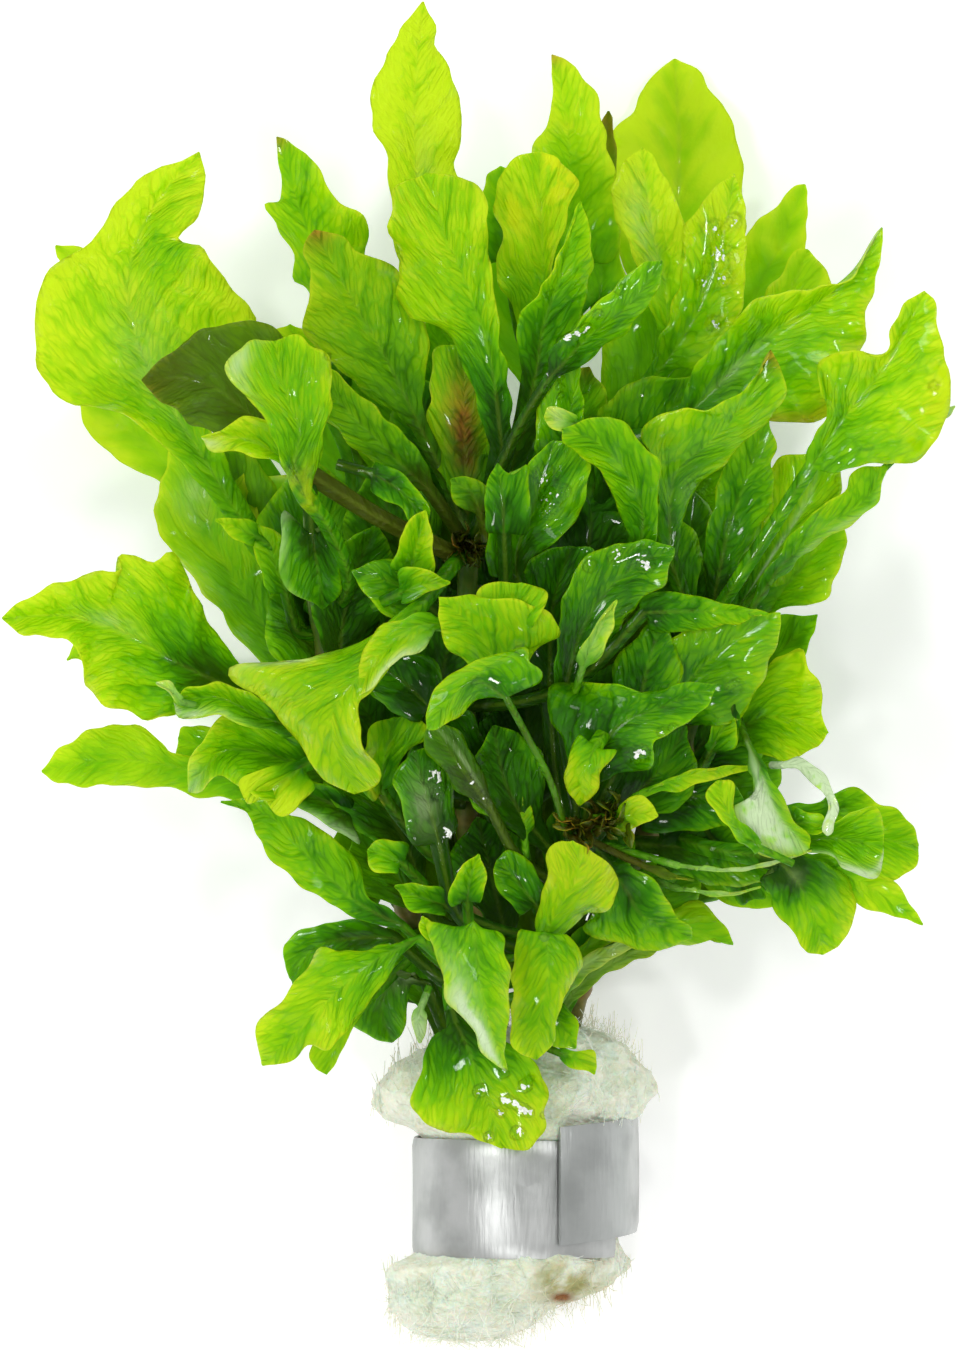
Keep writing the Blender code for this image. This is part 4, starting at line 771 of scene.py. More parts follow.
def make_leaf(name, growth, seed, marks=(), nodes=(), rows=ROWS, columns=COLUMNS, lobe=False):
    """One leaf: a closed thin blade with waved edges, thick at its rib and round at its base. A lobe is
    a fold of the leaf under it, so it has no stalk of its own."""
    rib, left, right, (low, high, bow), lift, stalk, light, olive, wet, waves = growth
    narrow = smooth_path(flat(rib[:stalk]), STALK_ROWS)
    blade = smooth_path(flat(rib[stalk - 1:]), rows)
    opening = math.dist(left[0], right[0]) / 2
    hip = STALK_WIDTHS.get(name, min(max(HIP_SHARE * opening, HIP_LEAST), HIP_HALF_WIDTH))
    hips = lean(narrow)[-1] * hip
    tip = lean(blade)[-1] * TIP_HALF_WIDTH
    edges = []
    for outline, sign in ((left, 1), (right, -1)):
        points = [blade[0] + hips * sign, *np.array(flat(outline)), blade[-1] + tip * sign]
        edges.append(smooth_path(points, rows))
    middle = np.vstack([narrow, blade[1:]])
    run = travelled(middle)
    u = run / run[-1]
    middle[:, 2] = low + (high - low) * u + bow * np.sin(math.pi * u)
    ahead = (middle[1] - middle[0]) / np.linalg.norm(middle[1] - middle[0])
    if lobe:
        reach = middle[0] - ahead * np.linspace(0.8, 0.1, REACH_ROWS)[:, None]
    else:
        reach = reach_to_stem(middle[0], ahead)
    # The stalk and the two halves of the blade, as one grid of points across and along the leaf.
    count = REACH_ROWS + STALK_ROWS
    stalk_path = np.vstack([reach, middle[:STALK_ROWS + 1]])
    widening = np.linspace(0, 1, count + 1) ** 1.5
    foot = FOOT_SHARE * hip if name in STALK_WIDTHS else min(FOOT_HALF_WIDTH, hip)
    stalk_side = lean(stalk_path) * (foot + (hip - foot) * widening)[:, None]
    v = np.linspace(1, -1, columns + 1)
    grid = np.zeros((count + rows + 1, columns + 1, 3))
    grid[:count + 1] = stalk_path[:, None] + stalk_side[:, None] * v[None, :, None]
    opened = np.sin(math.pi * np.arange(rows + 1) / rows)
    rib_line = middle[STALK_ROWS:]
    rng = np.random.default_rng(seed)
    for half, edge, raised, sign in ((v >= 0, edges[0], lift[0], 1), (v < 0, edges[1], lift[1], -1)):
        grid[count:, half] = half_blade(edge, rib_line, np.abs(v[half]), raised, opened, waves, seed,
                                        sign, rng)
    # How far each row is from where the blade opens, and each point from the leaf's middle line.
    along = np.concatenate([-travelled(stalk_path[::-1])[:0:-1], run[STALK_ROWS:] - run[STALK_ROWS]])
    share = np.clip(along / along[-1], 0, 1)
    centre = np.vstack([stalk_path, rib_line[1:]])
    across = np.linalg.norm(grid - centre[:, None], axis=2) * np.sign(v)[None]
    slim = min(1, along[-1] / SLIM_LENGTH)
    on_blade = np.clip(along / (STALK_FADE * slim), 0, 1)[:, None]
    upper, lower = two_faces(grid, v, along, across, share, slim, on_blade)
    points = np.concatenate([upper.reshape(-1, 3), lower.reshape(-1, 3)])
    faces, which = closed_faces(*grid.shape[:2])
    leaf = add_piece("fine_" + name, points, faces.tolist(), [leaf_upper, leaf_underside], nodes,
                     180)
    leaf.data.polygons.foreach_set("material_index", which)
    write_colours(leaf, grid, v, along, across, share, on_blade, seed, marks, light, olive, wet)


for seed, (leaf_name, leaf_growth) in enumerate(LEAVES.items(), 1):
    make_leaf(leaf_name, leaf_growth, seed, MARKS.get(leaf_name, ()), [leaf_name])

# The small leaves.
# Narrower and younger leaves of the same plant between the big ones: tips that show behind them,
# curled and folded ones, and dark ones deep in the bunch, whose darkness is painted shade. They grow
# from the same stems.
SMALL_LEAVES = {
    "left_rolled": ([(-17, -7.5), (-21, -6.5), (-26, -5), (-31, -2.7), (-36.3, -3.2)],
        [(-25, -6.8), (-31, -5), (-35.4, -5.1)], [(-25, -3.5), (-30, -1), (-34, -1.5)],
        (37, 42, 1), (2, 2), 2, 0.62, 0, 0.3, 0.5),
    "right_rear": ([(27, -3), (31, 3), (35.5, 9), (39.5, 13.5), (44, 18.8)],
        [(34, 11), (38, 16), (42, 19.2)], [(36.6, 7.8), (41.8, 8.8), (42.9, 11.5), (44.2, 15.8)],
        (21, 25, 1), (1, 1), 2, 0.7, 0, 0.2, 0.7),
    "top_behind": ([(5.2, 42), (4, 50), (3, 56), (2.8, 61.2)], [(0.8, 50), (0.1, 55.6), (0.8, 59.2)],
        [(7, 50), (6, 57), (4.5, 60.4)], (22, 24, 1), (1, 1), 2, 0.6, 0, 0.1, 0.4),
    "right_top_behind": ([(28, 30), (33, 40), (37, 45), (39.8, 51.2)],
        [(34, 45), (36.6, 48.8), (38.6, 51)], [(38.6, 40), (42.4, 45.4), (41.8, 48.8)],
        (20, 22, 1), (1, 1), 2, 0.8, 0, 0.1, 0.5),
    "far_left_behind": ([(-22, 20), (-33, 36), (-43, 46), (-50.9, 51.8)],
        [(-38, 38), (-46, 45), (-50.2, 49.5)], [(-34, 42), (-42, 48.6), (-47.6, 51.6)],
        (12, 14, 1), (1, 1), 2, 0.85, 0, 0, 0.4),
    "mauve_tip": ([(15, 50), (15.3, 58), (15.6, 64), (15.8, 68)], [(14.4, 60), (14.4, 65)],
        [(16.4, 60), (16.7, 65.5)], (15, 16, 0), (0, 0), 2, 0.5, 0.6, 0, 0.1),
    "sliver": ([(46, 22), (50, 26), (54, 29.8), (57.2, 32.2)], [(51.6, 28.8), (55.2, 31.4)],
        [(53, 28.2), (56.4, 30.8)], (34, 36, 0), (0.5, 0), 2, 0.75, 0, 0.2, 0.2),
    "left_tooth": ([(-42, 2.4), (-45, 2.8), (-47.4, 2.6), (-49.2, 1.8)], [(-45, 1.4), (-47.6, 1.6)],
        [(-45, 4.8), (-47.8, 4.2)], (33, 34, 1), (0, 0), 2, 0.9, 0, 0.1, 0.3),
    "left_hook": ([(-33, -3.8), (-35.4, -3.2), (-36.8, -1.6), (-38.4, -0.9)],
        [(-36, -3.2), (-37.4, -1.7)], [(-35, -2.4), (-36.4, -0.9)],
        (42, 43, 1), (1, 0), 2, 0.8, 0, 0.2, 0.1),
    "far_left_small": ([(-20, -13.5), (-24, -12), (-30, -10), (-36, -7.5)],
        [(-27, -13), (-31, -12.3), (-35.5, -10.3)],
        [(-26, -8.5), (-29, -7), (-32, -6.5), (-35.2, -5.7)], (20, 22, 1), (0, 1), 2, 0.7, 0, 0.1, 0.5),
    "cupped_lobe": ([(-18.4, -9.6), (-21, -11), (-23.4, -12.8), (-25.6, -14.8)],
        [(-19.6, -13.4), (-21.6, -16), (-24, -16.6)],
        [(-23.4, -10.6), (-26.4, -11.4), (-28.2, -13), (-27.6, -15.4)],
        (36, 37, 1), (2, 2), 2, 1.0, 0, 0.2, 0.6),
    "front_left_fold": ([(-1.4, 5.6), (-5, 6.1), (-8, 5.5), (-12, 2), (-15, -3.5)],
        [(-6, 3.0), (-9, 2), (-12.5, -1.5)], [(-6, 7.4), (-10, 6.6), (-13.5, 2.5)],
        (48, 52, 3), (3, -1), 2, 0.85, 0, 0.5, 0.4),
    "behind_front_top": ([(3, 1), (3.4, 4.5), (4.4, 8), (5.4, 11)], [(0.4, 7), (0, 9.6), (2.4, 10.9)],
        [(6.8, 6), (8.2, 8.4), (8.2, 10)], (48, 51, 1), (1, 1), 2, 0.66, 0, 0.2, 0.6),
    "light_narrow": ([(11.2, -3.5), (12.6, 1), (14.2, 4.8), (16.6, 8.9)], [(12, 2.4), (14.6, 7.2)],
        [(14.2, 2), (16.3, 6.2)], (45, 52, 0.5), (1, 1), 2, 0.8, 0, 0.3, 0.2),
    "right_flat": ([(15, 2), (20, 7.5), (27, 7.6), (34.8, 7.3)], [(19.5, 9.3), (23, 9.9), (29, 8.9)],
        [(21, 5.5), (28, 5.5), (32, 6.2)], (43, 43, 1), (-1, -1), 2, 0.55, 0, 0.3, 0.3),
    "triangular": ([(18, -8), (19.3, -4), (20.4, 1), (22.2, 7.3)], [(16.2, -2), (16.6, 1), (18.9, 4.8)],
        [(23.4, -3), (24, 0), (23.3, 4)], (41, 43, 0), (-1, -1), 2, 0.45, 0, 0.4, 0.3),
    "small_round": ([(27, -11), (28, -9), (29, -7), (30.6, -5)], [(27.2, -8.4), (28, -6.2)],
        [(30.8, -8.6), (31.4, -6.5)], (36, 38, 1), (1, 1), 2, 0.65, 0, 0.3, 0.4),
    "silver_strap": (
        [(34.6, -10.8), (36.6, -10.8), (38.5, -10.8), (40.4, -11.8), (41.9, -13.9), (42.3, -16.2),
         (41.8, -19.2)], [(38.6, -10.2), (40.9, -11.1), (42.6, -13.6), (43.1, -16.2), (42.6, -18.6)],
        [(38.2, -11.4), (39.8, -12.5), (41.1, -14.3), (41.6, -16.2), (41.2, -18.4)],
        (36, 44, 2), (0, 0), 2, 0.85, 0, 0.4, 0.1),
    "right_folded": ([(33, -20), (36, -20.5), (42, -19.5), (45.5, -20), (48.6, -20.5)],
        [(42.6, -17.6), (45.2, -16.2), (47.4, -15.8), (48.5, -18)],
        [(42, -21.4), (43.6, -23), (45.4, -24), (47.4, -24), (48.6, -22.2)],
        (37, 40, 1), (4, 1), 2, 0.6, 0, 0.3, 0.5),
    "right_low_tip": ([(34, -20), (38, -21.5), (43, -23.5), (48, -26), (53.5, -30)],
        [(44, -22), (48.5, -23.8), (51.5, -26.5)], [(43.5, -25.5), (46, -27.8), (50, -29)],
        (30, 28, 1), (0, -1), 2, 0.75, 0, 0.2, 0.5),
    "below_right": ([(9, -46), (11.4, -39), (17, -33), (24, -31), (30.8, -32.4)],
        [(17, -31), (22, -28.8), (26, -27.2), (29.5, -29.7)], [(17, -34.2), (21, -33), (27, -32.1)],
        (22, 22, 3), (0, -1), 3, 0.66, 0, 0.3, 0.5),
    "dark_lower_right": ([(26, -17), (28.5, -20), (31, -23.5), (33, -27)],
        [(31.6, -21.5), (34, -24), (34.8, -26.6)], [(28.4, -22), (29.6, -25), (31.4, -27.4)],
        (31, 28, 1), (0, 0), 2, 0.32, 0, 0.3, 0.4),
    "low_left_shade": ([(-4, -42), (-6, -37), (-10, -36), (-11.5, -40), (-10.2, -44.2)],
        [(-8, -37.5), (-8.2, -39.5), (-9.2, -42.5)],
        [(-12.5, -36), (-14.6, -38), (-15, -42), (-12.5, -43.6)],
        (26, 24, 2), (0, 0), 2, 0.32, 0, 0.4, 0.4),
    "low_left_tip": ([(-8, -34), (-12, -38), (-16, -43), (-18.2, -48)],
        [(-14, -41), (-16.2, -45), (-17.4, -47)], [(-17, -40), (-20.2, -45), (-19.6, -47)],
        (27, 26, 1), (0, 0), 2, 0.75, 0, 0.2, 0.4),
    "small_low_right": ([(8, -44.6), (10, -45.4), (12, -46), (14.1, -47.9)],
        [(10, -44.7), (12.6, -44.8), (14.1, -45.2)], [(10, -46.2), (12, -47)],
        (31, 30, 1), (0, 0), 2, 0.7, 0, 0.3, 0.3),
    "yellow_ribbed": ([(-7, -20), (-9.4, -17), (-11.6, -13.8), (-11, -9.8), (-9.8, -5)],
        [(-12.6, -15.6), (-14, -13.4), (-14, -10.6), (-13.2, -8), (-12, -5.8)],
        [(-9.8, -13), (-9, -10.4), (-8, -8.7), (-6.1, -7.5), (-6.6, -6.2), (-8, -5)],
        (38, 42, 1), (1, 1), 3, 0.62, 0, 0.2, 0.5),
    "dark_gloss_centre": ([(3, -20), (1, -15), (-3, -10), (-6.5, -7.5)],
        [(-2, -15), (-6, -15), (-8.5, -12), (-8.5, -9)], [(1.5, -11), (-0.5, -5), (-4, -5)],
        (32, 37, 1), (1, 1), 2, 0.22, 0, 0.9, 0.4),
    "small_upright": ([(-1, -30), (-1.2, -27), (-0.8, -24), (0.2, -21.4)],
        [(-3, -27.5), (-3.3, -25), (-1.5, -22.8)], [(0.4, -27), (0.9, -24.5), (0.7, -22.5)],
        (43, 46, 0), (1, 1), 2, 0.6, 0, 0.2, 0.3),
    "small_left_low": ([(-1, -29), (-4, -27.5), (-7, -26.5), (-9.9, -25.2)], [(-4, -28.7), (-8, -28)],
        [(-4.5, -25.5), (-8, -24.9)], (38, 40, 1), (1, 1), 2, 0.55, 0, 0.2, 0.4),
    "small_left_round": ([(-6.5, -25), (-9, -22.5), (-11, -21.6), (-13.2, -21)],
        [(-9.6, -24), (-11.5, -23.6), (-12.8, -22.4)], [(-8.6, -20.6), (-10.6, -19.6), (-12.4, -20)],
        (38, 39, 1), (1, 1), 2, 0.7, 0, 0.2, 0.4),
    "left_dark_curl": ([(-12, -18), (-15, -16.6), (-18, -15.2), (-22.5, -13.5)],
        [(-14, -20.2), (-16, -19.1), (-18.6, -17.6), (-21.8, -15.6)],
        [(-15.4, -14.6), (-18.4, -13.2), (-20.6, -12.8)], (32, 34, 1), (2, 1), 2, 0.42, 0, 0.3, 0.3),
    "tiny_silver": ([(-6, -38), (-6.8, -40), (-7, -42), (-6.9, -44.2)], [(-6, -41), (-6, -43)],
        [(-8, -41.2), (-7.8, -43)], (31, 30, 0), (0, 0), 2, 0.8, 0, 0.2, 0.1),
    "hooked": ([(-3, -32), (-4.6, -31), (-6, -30), (-6.6, -28.8)], [(-5.8, -31.6), (-7, -29.8)],
        [(-4.8, -29.8), (-5.8, -28.8)], (46, 49, 0), (1, 0), 2, 0.8, 0, 0.3, 0.2),
    "pointed_centre": ([(-8.6, 9), (-8, 12), (-7.2, 15.5), (-6.2, 19.6)],
        [(-10.4, 13), (-9, 16.6), (-7.4, 19)], [(-5.4, 12), (-5.4, 15.6), (-5.7, 18)],
        (41, 49, 1), (1, 1), 2, 0.74, 0, 0.2, 0.5),
    "band_leaf": ([(-16, 25), (-12.4, 24), (-9, 21.8), (-6, 18)], [(-12, 25.8), (-8.4, 23.8), (-6, 20)],
        [(-12.4, 22.2), (-9.6, 20), (-7.4, 18)], (43, 44, 1), (1, 1), 2, 0.46, 0, 0.5, 0.5),
    "blurred_centre": ([(-2, 5), (-6, 8.4), (-10, 11), (-15, 12.4)], [(-7, 5.6), (-12, 8)],
        [(-5, 10.6), (-10, 13.8)], (38, 44, 1), (1, -1), 2, 0.40, 0, 0.3, 0.6),
    "spoon_lobe": ([(3.4, 11.6), (3.2, 17), (3, 21), (2.4, 25.2)],
        [(1.1, 17.4), (1.1, 21), (1.6, 23.8)], [(5.6, 17), (6.2, 21), (5.9, 24.9), (4.2, 23.9)],
        (45, 51, 1), (0, 1), 2, 0.4, 0, 0.2, 0.5),
    "centre_olive": ([(1, 16.6), (0.4, 19.5), (-0.8, 21.8), (-3.2, 23.4)], [(-1.8, 19.6), (-3, 21.8)],
        [(1.6, 19.5), (1.2, 22.2), (-0.8, 23.6)], (41, 44, 1), (0, 0), 2, 0.52, 0.2, 0.1, 0.3),
    "gap_left_top": ([(-16, 28), (-18.6, 34), (-20.4, 38), (-22.6, 42.2)],
        [(-22, 34), (-24.7, 38.2), (-24.8, 41.1)], [(-16, 35), (-17.6, 39), (-20.2, 41)],
        (19, 21, 0), (0, 0), 2, 0.78, 0, 0.1, 0.3),
    "gap_red": ([(-3, 28), (-3.8, 34), (-4.4, 38), (-5, 43)], [(-6.6, 35), (-7, 39), (-6.4, 42)],
        [(-1, 34), (-1.6, 39), (-3, 42.4)], (24, 26, 0), (0, 0), 2, 0.55, 0, 0.1, 0.3),
    "centre_left_bright": ([(-12, 8.4), (-9, 9.8), (-6.4, 10.8), (-3.2, 11)],
        [(-9.4, 12.4), (-7.4, 13), (-5.3, 12.4)], [(-9, 8.6), (-7, 9.2), (-5, 10.2)],
        (44, 48, 1), (1, 0), 2, 0.74, 0, 0.4, 0.5),
    "left_spur": ([(-24, 15), (-26.5, 16.6), (-28.8, 17.6), (-31.4, 18.6)],
        [(-27, 15.4), (-29.6, 16.8)], [(-26.4, 18.2), (-29, 19)],
        (33, 35, 0), (0, 0), 2, 0.85, 0, 0.1, 0.3),
    "left_spur_leaf": ([(-22, 6), (-23, 10), (-24.6, 14), (-26.2, 18)], [(-25, 10), (-26.6, 14.4)],
        [(-21.4, 11), (-23.4, 16)], (31, 34, 0), (0, 0), 2, 0.72, 0, 0.1, 0.4),
    "young_green": ([(14, -17), (16.5, -17.4), (19, -16.6), (21.6, -16.8)],
        [(17, -15.6), (19.4, -14.4), (20.8, -15.4)], [(16.6, -18.8), (19, -18), (20.6, -17.6)],
        (44, 45, 0), (1, 0), 2, 0.95, 0, 0.3, 0.3),
    "front_curled_lobe": ([(-19.5, 21), (-22.5, 25.4), (-26.2, 27.6), (-29.5, 28.4), (-32.9, 28.3)],
        [(-24.5, 25.4), (-27.8, 26.2), (-31.4, 27)],
        [(-24, 28.6), (-25.1, 30.3), (-27.8, 30.5), (-30.6, 29.5)],
        (47, 51, 1), (1, 2), 2, 0.9, 0, 0.3, 0.4),
    "hanging_dark": ([(-20, 22), (-19.8, 17), (-19, 12), (-18.4, 7.8)],
        [(-18, 18.5), (-16.2, 14.4), (-16.4, 10.5)], [(-23, 19.5), (-23.6, 15), (-22.6, 10.5)],
        (43, 38, 1), (1, 2), 2, 0.36, 0, 0.2, 0.4),
    "left_band": ([(-14, 0), (-19, 7), (-25, 16), (-31.6, 27)], [(-24, 13), (-28.6, 20), (-32.6, 26)],
        [(-19, 11), (-22.5, 19), (-27, 26)], (21, 25, 1), (0, 0), 2, 0.45, 0.3, 0.1, 0.3),
    "gloss_back": ([(9, -8), (8.6, 0), (9, 8), (11.2, 15.4)], [(5.6, 3), (5, 10), (7, 14.6)],
        [(12.6, 4), (15, 10), (14.2, 14.8)], (36, 41, 1), (1, -1), 2, 0.28, 0, 0.6, 0.4),
    "fold_shade": ([(-3, -9), (-5.6, -4), (-8.6, -1), (-12.4, 1.6)],
        [(-7, -5.6), (-10, -4.4), (-13, -1.6)], [(-3, -3), (-5.4, 1.6), (-9.6, 3)],
        (40, 44, 1), (1, 0), 2, 0.22, 0, 0.8, 0.4),
    "streaked": ([(3.6, -20), (1.6, -16), (-0.8, -12.6), (-3.4, -9), (-5.8, -6)],
        [(-1.8, -14), (-4.6, -11), (-6.4, -7.6)], [(0.6, -11.6), (-1.4, -8), (-4.2, -5.6)],
        (40, 47, 2), (-1, -1), 2, 0.26, 0.35, 0.9, 0.3),
    "wide_lobe": ([(16, -5.6), (14, -8.6), (12.6, -11.8), (12.2, -15.6)],
        [(16.6, -9), (14.8, -11.6), (14.2, -13.8)], [(12, -7), (10.9, -10.6), (10.7, -14.2)],
        (45, 47, 4.5), (-1, -1), 2, 0.85, 0, 0.2, 0.3),
    "bent_tip": ([(13.5, 28.6), (11.6, 30), (9.8, 30.4), (8, 31)], [(11, 29.1), (9.2, 29.2), (8, 30.2)],
        [(11.8, 31), (10.2, 32), (8.4, 32)], (52, 57, 1), (1, 1), 2, 0.85, 0, 0.3, 0.2),
    "right_big_knob": ([(30.5, -1), (30.4, -4), (29.8, -6.4), (29.4, -9)], [(31.6, -5), (31, -8)],
        [(28.8, -5), (28.4, -7.6)], (38, 36, 1), (-1, -1), 2, 0.55, 0, 0.3, 0.2),
    "dark_middle_right": ([(15, -18), (20, -15.5), (26, -14.5), (32, -15.5)],
        [(20, -12.5), (26, -11), (31, -13)], [(20, -18.5), (26, -18.5), (31, -18)],
        (34, 34, 1), (0, 0), 2, 0.35, 0, 0.4, 0.3),
    "dark_middle_low": ([(16, -20), (22, -20.5), (29, -21), (36, -23)],
        [(22, -17.5), (29, -17.5), (34, -20)], [(22, -23.5), (29, -25), (34, -25)],
        (30, 30, 1), (0, 0), 2, 0.45, 0, 0.4, 0.3),
    "lower_centre": ([(9.5, -31), (7, -27.5), (5, -25), (2.4, -22)],
        [(5, -28.6), (3, -26), (1.8, -23.6)], [(8.6, -26), (7, -23), (4, -21)],
        (38, 40, 1), (1, 0), 2, 0.5, 0, 0.3, 0.3),
    "stalk_light": ([(14.5, -18), (19, -14.5), (25, -12), (34, -11)], [(21, -12.9), (28, -10.8)],
        [(21.4, -14.4), (28, -12.4)], (43, 38, 1), (0, 0), 2, 0.85, 0, 0.3, 0.1),
    "stalk_silver": ([(16, -20.5), (24, -22.8), (31, -23.3), (40, -21)], [(25, -22.6), (32, -22.9)],
        [(25, -23.1), (32, -23.5)], (38, 40, 0), (0, 0), 2, 0.85, 0, 0.3, 0.1),
    "stalk_pale": ([(17, -23), (24, -25.6), (30, -26.2), (34, -25.4)], [(25, -25.5), (30, -25.9)],
        [(25, -26), (30, -26.5)], (34, 34, 0), (0, 0), 2, 0.8, 0, 0.3, 0.1),
    "stalk_red": ([(14, -20), (18, -22), (22, -23.8), (26, -24.6)], [(19, -21.9), (23, -23.6)],
        [(19, -22.9), (23, -24.5)], (40, 36, 0), (0, 0), 2, 0.5, 0.4, 0.3, 0.1),
    "stalk_centre": ([(5.9, -24), (5.7, -19), (5.6, -15), (5.2, -11)], [(4.9, -18), (4.8, -13)],
        [(6.5, -18), (6.3, -13)], (38, 41, 0), (0, 0), 2, 0.95, 0, 0.3, 0.1),
    "strap_leaf": ([(36.5, -18.2), (38, -17.8), (40, -17.6), (41.8, -17.8)],
        [(37.6, -15.7), (39.4, -16.3), (41.2, -16.7)], [(38.5, -19.2), (40.5, -19.2)],
        (40, 42, 0), (0, 1), 2, 0.62, 0, 0.3, 0.3),
    "gap_top_right": ([(14.5, 41.6), (14.6, 45), (15, 49), (15.4, 53)],
        [(12, 43), (11.5, 47), (13.6, 52)], [(17.4, 43), (18, 47), (17, 52)],
        (20, 22, 0), (0, 0), 2, 0.62, 0, 0.1, 0.3),
    "gap_centre": ([(8, 22), (10, 27), (12, 32), (13.4, 37)], [(8.4, 28), (9.8, 32), (12, 36.4)],
        [(12.5, 27), (15.2, 31), (15.6, 33.8), (14.8, 35.4)], (26, 28, 0), (0, 0), 2, 0.5, 0, 0.1, 0.3),
    "gap_low_left": ([(-3, -46), (-5.2, -41), (-8, -36), (-10.5, -30)],
        [(-6.8, -41), (-10.4, -36), (-11.8, -32)], [(-4, -37), (-6, -33), (-8.6, -30)],
        (20, 25, 0), (0, 0), 2, 0.45, 0, 0.1, 0.3),
    "gap_low_right": ([(8, -46), (10, -40), (12, -35), (15, -30)], [(7.4, -38), (9, -34), (12, -30)],
        [(11.2, -38.4), (12.6, -35), (15.6, -31.6)], (20, 25, 0), (0, 0), 2, 0.45, 0, 0.1, 0.3),
    "gap_shade": ([(24, -18), (29, -21), (34, -24), (38, -28)], [(30, -19), (35, -21), (39, -25)],
        [(26, -23), (29.5, -27.5), (35.6, -28)], (22, 20, 0), (0, 0), 2, 0.5, 0, 0.1, 0.3),
    "bundle_upper": ([(7, -45), (8.8, -38.4), (11.8, -34), (16.6, -31), (23, -29.4)],
        [(11, -33.4), (16.2, -30.2)], [(12.6, -34.6), (17, -31.8)],
        (24, 28, 0), (0, 0), 2, 0.8, 0.1, 0.3, 0.1),
    "bundle_middle": ([(7.4, -45.5), (9.6, -39.6), (12.6, -35.4), (17.4, -32.4), (24, -30.8)],
        [(11.8, -34.8), (17, -31.6)], [(13.4, -36), (17.8, -33.2)],
        (25, 29, 0), (0, 0), 2, 0.95, 0.1, 0.3, 0.1),
    "bundle_lower": ([(7.6, -46), (9.8, -41), (12.4, -37.4), (17.6, -34), (24, -32)],
        [(11.8, -36.8), (17.2, -33.4)], [(13, -38), (18, -34.7)],
        (24, 27, 0), (0, 0), 2, 0.72, 0.4, 0.3, 0.1),
    "centre_green": ([(8.6, 20), (10, 26), (11.2, 31.5), (12, 38)], [(7, 27), (7.6, 33), (9.6, 37)],
        [(12.4, 26), (12.8, 31.4), (12.3, 35.6)], (36, 44, 1), (1, -0.5), 2, 0.52, 0, 0.7, 0.5),
    "dark_left_gloss": ([(-3.4, -26), (-4.6, -20), (-6, -15), (-7.6, -9)],
        [(-8, -20), (-9.2, -15), (-9.4, -11)], [(-2.4, -18), (-3, -13), (-4.6, -9)],
        (40, 44, 1), (1, -1), 2, 0.3, 0, 1.0, 0.5),
    "curl_knob": ([(37, -22.2), (33.6, -20.6), (31, -18.2), (29.6, -15.4), (28.6, -12.6)],
        [(33, -21.4), (30.4, -19), (28.6, -16.8), (27.3, -14.4)],
        [(33.8, -19.8), (31.8, -17.4), (30.6, -15.2), (30.2, -12.9)],
        (46.5, 46.5, 1), (1.5, -0.8), 2, 0.76, 0, 0.4, 0.2),
    "hanging_behind": ([(7, -37), (9, -40), (10.4, -42.5), (11.8, -44.8)], [(10.5, -39.6), (11.9, -42)],
        [(8, -42.5), (9.6, -44.4)], (30, 32, 1), (0, 0), 2, 0.62, 0, 0.3, 0.4),
}
# Here too a 'dark' mark is painted shade.
SMALL_MARKS = {
    "left_rolled": [("silver", 0.9, 0.8, 0.5, 0.3, 0.9)],
    "left_hook": [("silver", 0.8, 0, 0.9, 2, 0.8)],
    "mauve_tip": [("red", 0.9, 0, 0.6, 2, 0.8)],
    "sliver": [("silver", 0.8, 0, 0.6, 2, 0.9)],
    "front_left_fold": [("silver", 0.5, 0.9, 0.6, 0.3, 0.9)],
    "silver_strap": [("silver", 0.4, 0, 1.2, 2, 1.7)],
    "right_folded": [("silver", 0.7, -0.95, 0.5, 0.22, 1.3)],
    "yellow_ribbed": [("yellow", 0.3, 0.8, 0.4, 0.35, 0.9)],
    "gap_centre": [("red", 1.0, 0, 0.2, 2, 0.9)],
    "low_left_shade": [("silver", 0.25, 0.1, 0.2, 0.5, 0.8)],
    "left_dark_curl": [("silver", 0.4, 0.9, 0.5, 0.3, 0.8)],
    "dark_left_gloss": [("silver", 0.45, 0.2, 0.3, 0.6, 0.55)],
    "tiny_silver": [("silver", 0.6, 0, 0.9, 2, 1.0)],
    "light_narrow": [("silver", 0.5, 0, 0.6, 2, 0.5)],
    "front_curled_lobe": [("silver", 0.9, 0.6, 0.2, 0.5, 0.8)],
    "hanging_dark": [("silver", 0.3, -0.95, 0.6, 0.12, 0.9)],
    "pointed_centre": [("yellow", 0.9, 0, 0.2, 2, 0.4)],
    "centre_olive": [("red", 0.0, 0, 0.4, 2, 0.5)],
    "streaked": [("silver", 0.55, -0.35, 0.4, 0.12, 0.8)],
    "bent_tip": [("silver", 0.6, 0, 0.5, 2, 0.6)],
    "stalk_silver": [("silver", 0.6, 0, 0.6, 2, 0.9)],
    "stalk_pale": [("silver", 0.6, 0, 0.6, 2, 0.6)],
    "stalk_red": [("red", 0.0, 0, 0.9, 2, 0.9)],
    "left_band": [("red", 0.2, 0, 0.5, 0.5, 0.4)],
    "bundle_middle": [("silver", 0.5, 0, 0.8, 2, 0.6)],
    "bundle_lower": [("silver", 0.5, 0, 0.8, 2, 0.3)],
    "cupped_lobe": [("dark", 0.0, 0, 0.3, 2, 0.3)],
}
LOBES = {"wide_lobe", "bent_tip", "cupped_lobe", "front_curled_lobe", "front_left_fold", "strap_leaf",
         "right_big_knob", "light_narrow", "behind_front_top", "small_upright", "right_folded",
         "spoon_lobe", "pointed_centre", "blurred_centre", "centre_left_bright", "band_leaf",
         "hanging_dark", "centre_olive", "left_tooth", "gap_top_right", "lower_centre", "young_green",
         "silver_strap", "curl_knob", "tiny_silver", "mauve_tip", "hanging_behind"}
SMALL_ROWS = 36
SMALL_COLUMNS = 14
SMALL_SEED = 101
